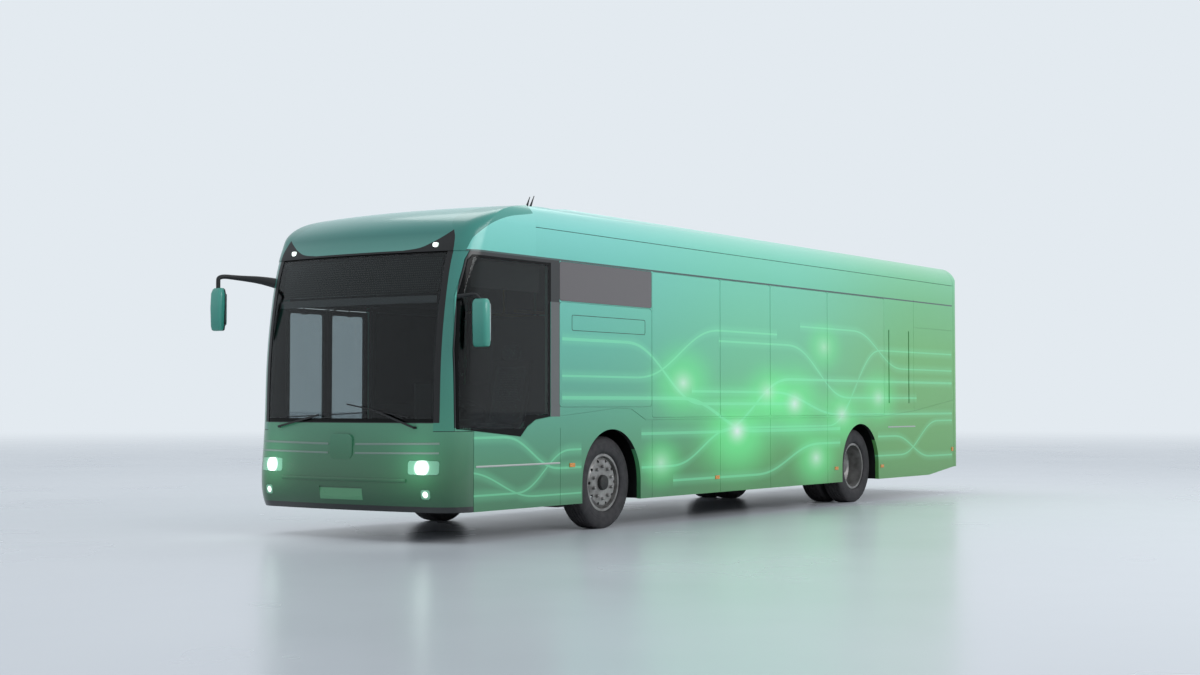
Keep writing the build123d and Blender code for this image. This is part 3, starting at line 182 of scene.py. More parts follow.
LIGHT_SPOTS = (
    # station, height, radius of the halo, strength
    (-1.42, 1.53, 0.62, 0.8), (-2.62, 0.98, 0.80, 1.0), (-3.35, 1.44, 0.50, 0.7), (-4.05, 1.30, 0.72, 0.9),
    (-4.62, 0.62, 0.55, 0.8), (-5.35, 1.16, 0.60, 0.8), (-0.95, 0.66, 0.40, 0.7), (-4.85, 2.02, 0.45, 0.6),
    (-6.45, 1.38, 0.55, 0.7),
)
SPOT_CORE, SPOT_STRETCH, HALO_PEAK, CORE_FALL = 0.22, 0.62, 0.85, 2.2
RIBBONS = (
    # bend from, bend to, height ahead, height behind, front end, rear end, width
    (-0.20, -1.90, 1.95, 1.30, 0.90, -4.05, 0.034),
    (-1.30, -3.10, 1.36, 0.98, 0.90, -5.30, 0.040),
    (-0.40, -2.30, 1.58, 2.14, 0.90, -3.60, 0.024),
    (-2.10, -4.00, 0.98, 1.60, -0.56, -8.95, 0.034),
    (-1.10, -2.60, 0.62, 1.02, -0.56, -4.62, 0.028),
    (-3.00, -4.80, 0.46, 0.80, -1.20, -5.30, 0.030),
    (-3.40, -5.40, 1.44, 1.16, -1.60, -8.95, 0.030),
    (-3.80, -5.60, 2.02, 1.38, -2.20, -7.70, 0.026),
    (-4.90, -6.60, 1.02, 2.02, -3.10, -8.95, 0.022),
    (-5.60, -7.30, 2.26, 1.78, -4.20, -8.95, 0.022),
    (-6.90, -8.20, 0.86, 0.56, -6.43, -8.95, 0.026),
    (-7.10, -8.50, 0.60, 1.06, -6.43, -8.95, 0.024),
    (1.90, 0.90, 0.98, 0.66, 2.62, 0.56, 0.026),
    (1.70, 0.70, 0.44, 0.84, 2.62, 0.56, 0.022),
    (2.50, 1.30, 0.66, 0.40, 2.62, 0.56, 0.020),
)
RIBBON_FEATHER, RIBBON_GLOW, RIBBON_PEAK, GLOW_PEAK = 0.006, 0.10, 0.42, 0.16
SIDE_FROM, SIDE_TO = 1.19, 1.22
# Patches on the left side: rear end, front end, foot, head
POST_STRIP = (0.935, 1.093, 1.172, 2.312)
POST_HEAD = (0.944, 1.100, 2.312, 2.722)
CAB_HEADER = (0.944, 2.37, 2.690, 2.729)
CAB_NOSE_EDGE = (2.20, 2.56, 1.075, 2.729)
DRIP_BAND = (-8.98, 2.36, 2.729, 2.747)
# INNER_SHADE is painted shade: the near-black put on faces inside and under the bus
INNER_SHADE, BAND_GREY, TRIM_BLACK, PRINT_BLACK, LIP_BLACK = "#1B1D1E", "#3F5552", "#101213", "#08090A", "#141617"
# How far a face looks inwards or down before it gets the near-black painted shade of the inside
INWARD, UNDERNEATH = -0.3, -0.6


def ramp(tree, factor, stops):
    """A colour ramp with its stops as position and hex colour."""
    made = add(tree, "ShaderNodeValToRGB", {"Fac": factor})
    points = made.color_ramp.elements
    for index, (place, code) in enumerate(stops):
        point = points[index] if index < 2 else points.new(place)
        point.position = place
        point.color = linear(code)
    return made.outputs["Color"]


def blended(tree, factor, first, second):
    """Mixes two colours, each a hex code or another node's output, by a factor."""
    pair = [linear(end) if isinstance(end, str) else end for end in (first, second)]
    return add(tree, "ShaderNodeMix", {0: factor, 6: pair[0], 7: pair[1]}, data_type="RGBA").outputs[2]


def within(tree, value, low, high):
    """1 between two limits and 0 outside them."""
    return reckoned(tree, "COMPARE", value, (low + high) / 2, (high - low) / 2)


def patch(tree, axes, box):
    """1 inside a box in station and height."""
    return reckoned(tree, "MULTIPLY", within(tree, axes["X"], AXLE_X + box[0], AXLE_X + box[1]),
                    within(tree, axes["Z"], box[2], box[3]))


def aside(tree, axes):
    """0 over the middle of the bus, and 1 on its sides."""
    return ranged(tree, reckoned(tree, "ABSOLUTE", axes["Y"]), SIDE_FROM, SIDE_TO)


def spots(tree, place):
    """How bright the light spots' halos and their white cores are at a point of the side."""
    flat = add(tree, "ShaderNodeVectorMath", {0: place, 1: (SPOT_STRETCH, 0, 1)}, operation="MULTIPLY").outputs[0]
    halo = core = 0.0
    for x, z, radius, strength in LIGHT_SPOTS:
        middle = (SPOT_STRETCH * (AXLE_X + x), 0, z)
        away = add(tree, "ShaderNodeVectorMath", {0: flat, 1: middle}, operation="DISTANCE").outputs["Value"]
        halo = reckoned(tree, "ADD", halo, ranged(tree, away, 0.0, radius, HALO_PEAK * strength, 0.0, "SMOOTHERSTEP"))
        heart = ranged(tree, away, 0.0, SPOT_CORE, strength, 0.0)
        core = reckoned(tree, "ADD", core, reckoned(tree, "POWER", heart, CORE_FALL))
    return halo, core


def ribbons(tree, axes):
    """How strongly the ribbons show: a crisp band with a soft glow on both sides."""
    total = 0.0
    for near, far, ahead, behind, front, rear, width in RIBBONS:
        line = ranged(tree, axes["X"], AXLE_X + far, AXLE_X + near, behind, ahead, "SMOOTHERSTEP")
        off = reckoned(tree, "ABSOLUTE", reckoned(tree, "SUBTRACT", axes["Z"], line))
        band = ranged(tree, off, width / 2 - RIBBON_FEATHER / 2, width / 2 + RIBBON_FEATHER / 2, RIBBON_PEAK, 0.0)
        glow = ranged(tree, off, 0.0, RIBBON_GLOW, GLOW_PEAK, 0.0, "SMOOTHERSTEP")
        shown = reckoned(tree, "MULTIPLY", reckoned(tree, "MAXIMUM", band, glow),
                         within(tree, axes["X"], AXLE_X + rear, AXLE_X + front))
        total = reckoned(tree, "MAXIMUM", total, shown)
    return total


def wrap_colour(tree, place, axes):
    """The printed colour of the wrap."""
    height = ranged(tree, axes["Z"], WRAP_LOW, WRAP_HIGH)
    colour, ahead = None, None
    for station, stops in WRAP_COLUMNS:
        column = ramp(tree, height, [((z - WRAP_LOW) / (WRAP_HIGH - WRAP_LOW), code) for z, code in stops])
        if colour is None:
            colour = column
        else:
            share = ranged(tree, axes["X"], AXLE_X + ahead, AXLE_X + station, 0.0, 1.0, "SMOOTHSTEP")
            colour = blended(tree, share, colour, column)
        ahead = station
    halo, core = spots(tree, place)
    for strength, code in ((halo, "#6CF590"), (ribbons(tree, axes), "#8DFFC0"), (core, "#F2FFF6")):
        colour = blended(tree, reckoned(tree, "MULTIPLY", strength, aside(tree, axes)), colour, code)
    return colour


def waves(tree, place, scale, depth):
    """A shallow unevenness in a surface, for its reflections."""
    noise = add(tree, "ShaderNodeTexNoise", {"Vector": place, "Scale": scale, "Detail": 2.0})
    return add(tree, "ShaderNodeBump", {"Height": noise.outputs["Fac"], "Distance": depth}).outputs["Normal"]


def dress(finish, *names):
    """Gives CAD nodes their finish."""
    for name in names:
        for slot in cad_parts[name].material_slots:
            slot.material = finish


def facing(tree, axis):
    """How far the surface faces along an axis."""
    normal = add(tree, "ShaderNodeNewGeometry").outputs["Normal"]
    return add(tree, "ShaderNodeSeparateXYZ", {0: normal}).outputs[axis]


def turned_in(tree, axes, limit=INWARD):
    """1 on faces that look towards the middle of the bus."""
    return reckoned(tree, "LESS_THAN", reckoned(tree, "MULTIPLY", axes["Y"], facing(tree, "Y")), limit)


wrapped_panel, tree, place, axes = material("printed_vinyl_on_aluminium")
colour = wrap_colour(tree, place, axes)
left = reckoned(tree, "GREATER_THAN", axes["Y"], SIDE_FROM)
for box, code in ((POST_STRIP, "#5A5C5B"), (POST_HEAD, TRIM_BLACK), (CAB_HEADER, TRIM_BLACK),
                  (CAB_NOSE_EDGE, TRIM_BLACK)):
    colour = blended(tree, reckoned(tree, "MULTIPLY", left, patch(tree, axes, box)), colour, code)
band = reckoned(tree, "MULTIPLY", aside(tree, axes), patch(tree, axes, DRIP_BAND))
# Painted shade: faces that look inwards or down get the near-black of the dim inside
shaded_inside = reckoned(tree, "MAXIMUM", turned_in(tree, axes), reckoned(tree, "LESS_THAN", facing(tree, "Z"), UNDERNEATH))
colour = blended(tree, shaded_inside, blended(tree, band, colour, BAND_GREY), INNER_SHADE)
surface(tree, {"Base Color": colour, "Roughness": 0.34, "Coat Weight": 0.3, "Coat Roughness": 0.14,
               "Normal": waves(tree, place, 2.2, 0.0016)})
dress(wrapped_panel, "side_wall_left", "side_wall_right", "rear_wall", "rear_lid")

# Front and arch: glass-fibre mouldings painted in a solid teal green under clear lacquer. The front panel's green
# is set darker than the sides and darkest towards the road, painted shade on a front that faces away from the light;
# it has a black lip at its foot and a blank plate field, and its faces that look back into the bus are black as painted
# shade. The arch round the glass is a deep teal that runs up into the roof's edge, black where it borders the
# windscreen; its top end is lighter as painted highlight, towards the rear it blends into the fairings' pale mint, and
# its inner faces get the painted shade of the inside.
LIP_TOP = 0.345
PLATE_FIELD = (0.27, 0.392, 0.5)  # half its width, its foot and its head
FRONT_RISE, PLATE_SHARE, LIP_FACE = (0.3, 1.12), 0.55, -0.5
front_enamel, tree, place, axes = material("lacquered_green_moulding")
rise = ranged(tree, axes["Z"], *FRONT_RISE)
# Painted shade: the ramp is darker than the sides and darkest at the foot
colour = ramp(tree, rise, ((0.0, "#245338"), (0.3, "#2C6340"), (0.62, "#377652"), (1.0, "#4A8E6D")))
plate = reckoned(tree, "MULTIPLY", within(tree, axes["Y"], -PLATE_FIELD[0], PLATE_FIELD[0]),
                 within(tree, axes["Z"], PLATE_FIELD[1], PLATE_FIELD[2]))
colour = blended(tree, reckoned(tree, "MULTIPLY", plate, PLATE_SHARE), colour, "#6DBB86")
# Black on the real lip below LIP_TOP, and as painted shade on faces that look back into the bus
lip = reckoned(tree, "MAXIMUM", reckoned(tree, "LESS_THAN", axes["Z"], LIP_TOP),
               reckoned(tree, "LESS_THAN", facing(tree, "X"), LIP_FACE))
surface(tree, {"Base Color": blended(tree, lip, colour, LIP_BLACK), "Roughness": 0.32, "Coat Weight": 0.5,
               "Coat Roughness": 0.08, "Normal": waves(tree, place, 3.0, 0.001)})
dress(front_enamel, "front_panel")
# The arch is printed black between the glass's sides and over its foot
GLASS_SIDE, GLASS_FOOT = 1.111, 1.122
ARCH_RISE, ARCH_AFT, AFT_SHARE, ARCH_INWARD = (1.0, 3.25), (2.2, 1.4), 0.7, -0.45
arch_enamel, tree, place, axes = material("lacquered_teal_moulding")
rise = ranged(tree, axes["Z"], *ARCH_RISE)
aft = ranged(tree, axes["X"], *(AXLE_X + station for station in ARCH_AFT))
# Painted highlight: the ramp lightens at the arch's top, and its rear part blends into the fairings' pale mint
colour = ramp(tree, rise, ((0.0, "#35866C"), (0.35, "#2F8272"), (0.78, "#2F877A"), (0.95, "#4CA899"), (1.0, "#6CC4B6")))
colour = blended(tree, reckoned(tree, "MULTIPLY", aft, AFT_SHARE), colour, "#82D8CC")
beside = reckoned(tree, "MULTIPLY", reckoned(tree, "LESS_THAN", reckoned(tree, "ABSOLUTE", axes["Y"]), GLASS_SIDE),
                  reckoned(tree, "GREATER_THAN", axes["Z"], GLASS_FOOT))
# Inward faces get the near-black painted shade of the inside; the border print stays black
colour = blended(tree, turned_in(tree, axes, ARCH_INWARD), blended(tree, beside, colour, PRINT_BLACK), INNER_SHADE)
surface(tree, {"Base Color": colour, "Roughness": ranged(tree, beside, 0.0, 1.0, 0.3, 0.5),
               "Coat Weight": ranged(tree, beside, 0.0, 1.0, 0.5, 0.0), "Coat Roughness": 0.08,
               "Normal": waves(tree, place, 3.0, 0.001)})
dress(arch_enamel, "front_arch")

# Side glazing: toughened panes. The wrap's see-through film covers those behind the cab, the strip above the
# second bay stays dark glass, and the cab's own window is clear behind a black printed border.
CAB_EDGE = AXLE_X + 1.02
STRIP_LOW, STRIP_REAR = 2.325, AXLE_X - 0.771
# Angles over which an edge stays sharp: cut panes, plates, rounded mouldings, strips and tyres, soft pieces
PANE_CREASE, CREASE, ROUNDED_CREASE, STRIP_CREASE, SOFT_CREASE = 4, 30, 40, 50, 60


def piece(name, mesh, finish, body="body", crease=CREASE, replaced=None):
    """Makes a finished object of a mesh, in place, riding on a body; it may stand for a CAD node."""
    made = placed(name, mesh)
    mesh.name = name
    mesh.materials.clear()
    mesh.materials.append(finish)
    mesh.shade_smooth()
    mesh.set_sharp_from_angle(angle=math.radians(crease))
    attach(made, body)
    if replaced:
        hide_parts(replaced)
    return made


def written(shape):
    """The mesh of a shape that is done."""
    mesh = bpy.data.meshes.new("made")
    shape.to_mesh(mesh)
    shape.free()
    return mesh


def across(axis, *places):
    """Planes across an axis at places along it."""
    way = tuple(float(axis == other) for other in "xyz")
    return [(tuple(at * part for part in way), way) for at in places]


def cut_from(node, wanted, cuts=()):
    """A copy of a CAD node's mesh, cut along planes and left with the faces that pass the test."""
    shape = bmesh.new()
    shape.from_mesh(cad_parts[node].data)
    bmesh.ops.remove_doubles(shape, verts=shape.verts, dist=1e-5)
    for point, normal in cuts:
        bmesh.ops.bisect_plane(shape, geom=[*shape.verts, *shape.edges, *shape.faces], plane_co=point, plane_no=normal)
    drop = [face for face in shape.faces if not wanted(face.calc_center_median())]
    bmesh.ops.delete(shape, geom=drop, context="FACES")
    return written(shape)


def finish_of(name, colour, values, uneven=None, mottle=None):
    """A finish of one colour, or of a ramp of colours read off a mottle, with waves of a scale and depth."""
    finish, tree, place, _ = material(name)
    if mottle:
        noise = add(tree, "ShaderNodeTexNoise", {"Vector": place, "Scale": mottle[0], "Detail": mottle[1]})
        values = {"Base Color": ramp(tree, noise.outputs["Fac"], colour), **values}
    else:
        values = {"Base Color": linear(colour), **values}
    if uneven:
        values["Normal"] = waves(tree, place, *uneven)
    surface(tree, values)
    return finish


perforated_film, tree, place, axes = material("perforated_vinyl_film_on_glass")
colour = blended(tree, turned_in(tree, axes), wrap_colour(tree, place, axes), "#131515")
surface(tree, {"Base Color": colour, "Roughness": 0.26, "Coat Weight": 0.35, "Coat Roughness": 0.1,
               "Normal": waves(tree, place, 1.3, 0.0008)})
CLEAR = {"Roughness": 0.0, "IOR": 1.3, "Transmission Weight": 1.0}
dark_glass = finish_of("dark_toughened_glass", "#625D5E", {"Roughness": 0.16, "Coat Weight": 0.25,
                                                           "Coat Roughness": 0.05}, (1.6, 0.0006))
cab_glass = finish_of("tinted_laminated_cab_glass", "#8A9390", CLEAR)
door_glass = finish_of("tinted_toughened_door_glass", "#BAC4C8", CLEAR)
border_print = finish_of("black_ceramic_border_on_glass", "#0A0B0B", {"Roughness": 0.12, "Specular IOR Level": 0.12},
                         (2.0, 0.0005))
CAB_SILL, CAB_STEP_X, CAB_STEP_Z, CAB_HEAD, CAB_REAR, CAB_NOSE = 1.06, 1.52, 1.19, 2.672, 1.14, 2.492
CAB_BEND, CAB_SLANTS = 2.3, ((2.445, 0.08), (2.430, 0.34))


def in_cab_view(middle):
    """Whether a point of the cab's window is inside its printed border."""
    x, z = middle.x - AXLE_X, middle.z
    nose = min(CAB_NOSE, *(at + (CAB_BEND - z) * lean for at, lean in CAB_SLANTS))
    over_sill = z > CAB_STEP_Z or (x > CAB_STEP_X and z > CAB_SILL)
    return CAB_REAR < x < nose and z < CAB_HEAD and over_sill


def in_strip(middle):
    """Whether a point of a side's glass is in the dark strip."""
    return STRIP_LOW < middle.z and STRIP_REAR < middle.x


cab_cuts = (across("x", AXLE_X + CAB_REAR) + across("z", CAB_HEAD, CAB_STEP_Z, CAB_SILL)
            + across("x", AXLE_X + CAB_STEP_X) + [((AXLE_X + at, 0, CAB_BEND), (1, 0, lean)) for at, lean in CAB_SLANTS]
            + across("x", AXLE_X + CAB_NOSE))
for label, shown, finish in (("cab_window", True, cab_glass), ("cab_window_border", False, border_print)):
    mesh = cut_from("side_glass_left", lambda spot: spot.x > CAB_EDGE and in_cab_view(spot) == shown, cab_cuts)
    piece(label, mesh, finish, replaced="side_glass_left")
SIDES = (("left", 1), ("right", -1))
for side, _ in SIDES:
    for label, dark, finish in (("film_panes", False, perforated_film), ("dark_strip", True, dark_glass)):
        mesh = cut_from(f"side_glass_{side}", lambda spot: spot.x < CAB_EDGE and in_strip(spot) == dark)
        piece(f"{label}_{side}", mesh, finish, crease=PANE_CREASE, replaced=f"side_glass_{side}")

# Roof crown: one large glass-fibre moulding over the windscreen, laid up in a mould and sprayed. Its dome falls to
# the sign's glass, its shoulders carry the arch's deep teal band up to the roof, and behind that edge it is wrapped
# like the fairings. Black corner panels fill the angle between dome and band, each with a marker lamp. The dome's
# colour paints its shading, dark teal across its middle and a near-white painted highlight along its top; band and
# wrap lighten towards the roof as painted highlight, and faces that look down or back get the painted shade of the
# inside.
CROWN_REAR, CROWN_FOOT, CROWN_FRONT = 1.35, 2.733, 2.75
CROWN_SECTIONS = (
    # height, set back from the bumper, radius across, radius of the corner
    (2.700, 0.204, 6.0, 0.262), (2.752, 0.220, 6.0, 0.258), (2.850, 0.258, 5.5, 0.240), (3.000, 0.345, 5.0, 0.200),
    (3.120, 0.550, 4.5, 0.160), (3.200, 0.840, 4.0, 0.140), (3.260, 1.250, 4.0, 0.120), (3.340, 2.150, 4.0, 0.120),
)
CROWN_HALF, SHOULDER_FOOT, SHOULDER_RADIUS, SHOULDER_TURN = 1.278, 3.03, 0.278, math.radians(72)
ROOF_RIDGE, PRISM_SPARE = 3.323, 0.022
CROWN_LEVELS, CORNER_STEPS, FRONT_STEPS, SIDE_STEPS = 40, 12, 22, 5
SHOULDER_STEPS, RIDGE_STEPS, ROOF_STEPS, ROOF_REACH, CROWN_START = 12, 10, 16, 1.5, 2
CROWN_HIDDEN, FAIRING_GAP, CROWN_TINT, BAND_TINT = -0.9, 0.002, (2.75, 3.3), (2.7, 3.25)
DOME_EDGE = ((0.560, 2.752), (0.750, 2.774), (0.850, 2.813), (0.975, 2.885), (1.150, 3.020))
BAND_INNER = ((2.640, 1.115), (2.800, 1.105), (2.920, 1.065), (3.010, 0.990), (3.080, 0.950))
BAND_REAR = ((2.724, 2.371), (2.910, 2.228), (3.071, 1.892), (3.170, 1.350))


def eased(table, at, column):
    """A column of a table, read between its rows along a smooth curve."""
    last = len(table) - 1
    row = max((index for index in range(last) if table[index][0] <= at), default=0)
    slopes = []
    for index in (row, row + 1):
        low, high = table[max(index - 1, 0)], table[min(index + 1, last)]
        slopes.append((high[column] - low[column]) / (high[0] - low[0]))
    span = table[row + 1][0] - table[row][0]
    part = (at - table[row][0]) / span
    turn = part * part * (3 - 2 * part)
    return (table[row][column] * (1 - turn) + table[row + 1][column] * turn
            + span * part * (1 - part) * (slopes[0] * (1 - part) - slopes[1] * part))


def crown_outline(height):
    """Half of the crown's outline at a height: along the side, round the corner and across to the middle."""
    back, bow, corner = (eased(CROWN_SECTIONS, height, column) for column in (1, 2, 3))
    centre, inner = CROWN_FRONT - back - bow, CROWN_HALF - corner
    corner_x = centre + math.sqrt((bow - corner) ** 2 - inner ** 2)
    turn = math.atan2(inner, corner_x - centre)
    start = CROWN_REAR - CROWN_START
    points = [(start + (corner_x - start) * step / SIDE_STEPS, CROWN_HALF) for step in range(SIDE_STEPS)]
    for step in range(CORNER_STEPS + 1):
        angle = math.pi / 2 + (turn - math.pi / 2) * step / CORNER_STEPS
        points.append((corner_x + corner * math.cos(angle), inner + corner * math.sin(angle)))
    for step in range(1, FRONT_STEPS + 1):
        angle = turn * (1 - step / FRONT_STEPS)
        points.append((centre + bow * math.cos(angle), bow * math.sin(angle)))
    return points


def stack_rings(rings):
    """A closed solid of rings of points, one joined to the next, with flat ends."""
    shape = bmesh.new()
    made = [[shape.verts.new(point) for point in ring] for ring in rings]
    count = len(made[0])
    for low, high in zip(made, made[1:]):
        for index in range(count):
            after = (index + 1) % count
            shape.faces.new((low[index], low[after], high[after], high[index]))
    shape.faces.new(made[0])
    shape.faces.new(made[-1])
    bmesh.ops.recalc_face_normals(shape, faces=shape.faces)
    return written(shape)


def settled(helper):
    """The mesh of a helper object with its modifiers applied; the helper goes."""
    bpy.context.view_layer.update()
    mesh = bpy.data.meshes.new_from_object(helper.evaluated_get(bpy.context.evaluated_depsgraph_get()))
    bpy.data.objects.remove(helper)
    return mesh


dome_rings = []
for level in range(CROWN_LEVELS + 1):
    z = CROWN_SECTIONS[0][0] + (CROWN_SECTIONS[-1][0] - CROWN_SECTIONS[0][0]) * level / CROWN_LEVELS
    outline = crown_outline(z)
    outline += [(x, -y) for x, y in reversed(outline[:-1])]
    dome_rings.append([(AXLE_X + x, y, z) for x, y in outline])
section = [(CROWN_HALF + PRISM_SPARE, CROWN_FOOT), (CROWN_HALF + PRISM_SPARE, SHOULDER_FOOT - 0.001)]
for step in range(SHOULDER_STEPS + 1):
    angle = SHOULDER_TURN * step / SHOULDER_STEPS
    section.append((CROWN_HALF - SHOULDER_RADIUS * (1 - math.cos(angle)),
                    SHOULDER_FOOT + SHOULDER_RADIUS * math.sin(angle)))
edge_y, edge_z = section[-1]
for step in range(1, RIDGE_STEPS + 1):
    part = 1 - step / RIDGE_STEPS
    section.append((edge_y * part, ROOF_RIDGE - (ROOF_RIDGE - edge_z) * part ** 2))
section += [(-y, z) for y, z in reversed(section[:-1])]
roof_rings = [[(AXLE_X + CROWN_REAR + ROOF_REACH * step / ROOF_STEPS, y, z) for y, z in section]
              for step in range(ROOF_STEPS + 1)]
dome = placed("crown_dome", stack_rings(dome_rings))
roof_block = placed("crown_roof", stack_rings(roof_rings))
cutter = dome.modifiers.new("roof_section", "BOOLEAN")
cutter.operation, cutter.solver, cutter.object = "INTERSECT", "EXACT", roof_block
shape = bmesh.new()
shape.from_mesh(settled(dome))
bpy.data.objects.remove(roof_block)
bmesh.ops.remove_doubles(shape, verts=shape.verts, dist=2e-4)
bmesh.ops.dissolve_degenerate(shape, edges=shape.edges, dist=1e-4)
bmesh.ops.recalc_face_normals(shape, faces=shape.faces)
crown_mesh = written(shape)


def read_off(tree, value, line):
    """A value read off a line of points by another value, held at both ends."""
    readings = [reading for _, reading in line]
    low, high = min(readings), max(readings)
    node = add(tree, "ShaderNodeFloatCurve", {"Value": ranged(tree, value, line[0][0], line[-1][0])})
    spots_on_line = node.mapping.curves[0].points
    span = line[-1][0] - line[0][0]
    fitted = [((at - line[0][0]) / span, (reading - low) / (high - low)) for at, reading in line]
    spots_on_line[0].location, spots_on_line[1].location = fitted[0], fitted[-1]
    for spot in fitted[1:-1]:
        spots_on_line.new(*spot)
    for spot in spots_on_line:
        spot.handle_type = "AUTO_CLAMPED"
    node.mapping.update()
    return ranged(tree, node.outputs[0], 0.0, 1.0, low, high)


crown_enamel, tree, place, axes = material("lacquered_teal_roof_moulding")
across_middle = reckoned(tree, "ABSOLUTE", axes["Y"])
tint_rise = ranged(tree, axes["Z"], *CROWN_TINT)
# Painted light: dark teal across the dome's middle is painted shade, the near-white at its top painted highlight
dome_shading_and_highlight = ramp(tree, tint_rise, ((0.0, "#62A596"), (0.3, "#3A887C"), (0.7, "#4AA396"), (0.92, "#8FD6CA"),
                                   (1.0, "#C4F2EA")))
# The band's deep teal lightens towards the roof as painted highlight
band_tint_and_highlight = ramp(tree, ranged(tree, axes["Z"], *BAND_TINT), ((0.0, "#2F8375"), (0.6, "#358F81"), (1.0, "#4CA899")))
# The wrap's mint pales towards the roof as painted highlight
wrap_tint_and_highlight = ramp(tree, tint_rise, ((0.0, "#72CDBE"), (0.55, "#84DACE"), (1.0, "#A2E6DC")))
behind = reckoned(tree, "LESS_THAN", axes["X"], reckoned(tree, "ADD", read_off(tree, axes["Z"], BAND_REAR), AXLE_X))
inside = reckoned(tree, "LESS_THAN", across_middle, read_off(tree, axes["Z"], BAND_INNER))
low_part = reckoned(tree, "LESS_THAN", axes["Z"], read_off(tree, across_middle, DOME_EDGE))
corner = reckoned(tree, "MULTIPLY", inside, low_part)
foot_line = reckoned(tree, "MULTIPLY", reckoned(tree, "LESS_THAN", axes["Z"], DRIP_BAND[3]), behind)
# Painted shade: faces that look down or back get the near-black of the inside
hidden_shade = reckoned(tree, "MAXIMUM", *(reckoned(tree, "LESS_THAN", facing(tree, axis), CROWN_HIDDEN) for axis in "XZ"))
colour = blended(tree, inside, blended(tree, behind, band_tint_and_highlight, wrap_tint_and_highlight), dome_shading_and_highlight)
for share, code in ((corner, PRINT_BLACK), (foot_line, BAND_GREY), (hidden_shade, INNER_SHADE)):
    colour = blended(tree, share, colour, code)
surface(tree, {"Base Color": colour, "Roughness": ranged(tree, corner, 0.0, 1.0, 0.33, 0.5),
               "Coat Weight": ranged(tree, corner, 0.0, 1.0, 0.35, 0.0), "Coat Roughness": 0.12,
               "Normal": waves(tree, place, 3.0, 0.001)})
piece("roof_crown", crown_mesh, crown_enamel, replaced="roof_cap")
fairing_cut = AXLE_X + CROWN_REAR + FAIRING_GAP
fairing_mesh = cut_from("roof_fairings", lambda spot: spot.x < fairing_cut, across("x", fairing_cut))
piece("roof_fairing_panels", fairing_mesh, wrapped_panel, replaced="roof_fairings")


def crown_face(y, z):
    """How far forward the crown's face stands at a place left of the middle and a height."""
    outline = crown_outline(z)
    falling = [pair for pair in zip(outline, outline[1:]) if pair[0][1] > pair[1][1]]
    start, end = min(falling, key=lambda pair: abs(pair[0][1] + pair[1][1] - 2 * abs(y)))
    return AXLE_X + start[0] + (end[0] - start[0]) * (abs(y) - start[1]) / (end[1] - start[1])


# Windscreen: one curved laminated sheet with a black printed border, whose upper part covers the destination
# sign. The sign is a blank dot display behind it, over a pale grey moulding that closes the foot of its box.
SCREEN_HALF, SCREEN_FOOT, SCREEN_HEAD = 1.06, 1.16, 2.715
# The sill trim's foot, head, half width, distance behind the glass and thickness
SILL_TRIM = (2.245, 2.312, 1.0, 0.022, 0.012)


def in_screen_view(middle):
    """Whether a point of the windscreen is inside its printed border."""
    return abs(middle.y) < SCREEN_HALF and SCREEN_FOOT < middle.z < SCREEN_HEAD


screen_tint = finish_of("tinted_laminated_windscreen", "#A4ADAD", CLEAR)
screen_cuts = across("y", SCREEN_HALF, -SCREEN_HALF) + across("z", SCREEN_FOOT, SCREEN_HEAD)
for label, shown, finish in (("windscreen_glass", True, screen_tint), ("windscreen_border", False, border_print)):
    mesh = cut_from("windscreen", lambda spot: in_screen_view(spot) == shown, screen_cuts)
    piece(label, mesh, finish, replaced="windscreen")
low, high, half, back, thick = SILL_TRIM
shape = bmesh.new()
shape.from_mesh(cut_from("windscreen", lambda spot: abs(spot.y) < half and low < spot.z < high,
                         across("y", half, -half) + across("z", low, high)))
bmesh.ops.delete(shape, geom=[face for face in shape.faces if face.normal.x < 0], context="FACES")
bmesh.ops.translate(shape, verts=shape.verts, vec=(-back, 0, 0))
bmesh.ops.solidify(shape, geom=shape.faces[:], thickness=thick)
sign_moulding = finish_of("pale_grey_moulded_abs", "#8C8789", {"Roughness": 0.45}, (40.0, 0.0003))
piece("sign_box_foot", written(shape), sign_moulding)
DOT_PITCH, DOT_SIZE = 0.022, 0.30
dot_display, tree, _, axes = material("unlit_dot_display")
cells = {}
for index, axis in enumerate("YZ"):
    part = reckoned(tree, "FRACT", reckoned(tree, "DIVIDE", axes[axis], DOT_PITCH))
    cells[index] = reckoned(tree, "SUBTRACT", part, 0.5)
cell = add(tree, "ShaderNodeCombineXYZ", cells).outputs[0]
away = add(tree, "ShaderNodeVectorMath", {0: cell}, operation="LENGTH").outputs["Value"]
dot = reckoned(tree, "LESS_THAN", away, DOT_SIZE)
surface(tree, {"Base Color": blended(tree, dot, "#070707", "#4A4945"), "Roughness": 0.4})
dress(dot_display, "destination_sign")

# Cab and saloon, seen through the glass: grained dark plastic for the dashboard and partition, satin coated
# tubes, fibreboard floor with a speckled vinyl cover.
grained_plastic, tree, place, _ = material("grained_dark_abs")
grain = add(tree, "ShaderNodeTexVoronoi", {"Vector": place, "Scale": 260.0})
leather = add(tree, "ShaderNodeBump", {"Height": grain.outputs["Distance"], "Distance": 0.0006})
surface(tree, {"Base Color": linear("#2B2D2E"), "Roughness": 0.62, "Normal": leather.outputs["Normal"]})
dress(grained_plastic, "dashboard", "cab_partition")
coated_tube = finish_of("yellow_powder_coated_tube", "#C9A227", {"Roughness": 0.42}, (400.0, 0.0002))
dress(coated_tube, "grab_rails")
floor_vinyl = finish_of("speckled_vinyl_on_board", ((0.35, "#2E3133"), (0.6, "#3C4043"), (0.7, "#6B7073")),
                        {"Roughness": 0.7}, mottle=(300.0, 1.0))
dress(floor_vinyl, "floor_frame", "rear_platform", "cab_plinth")

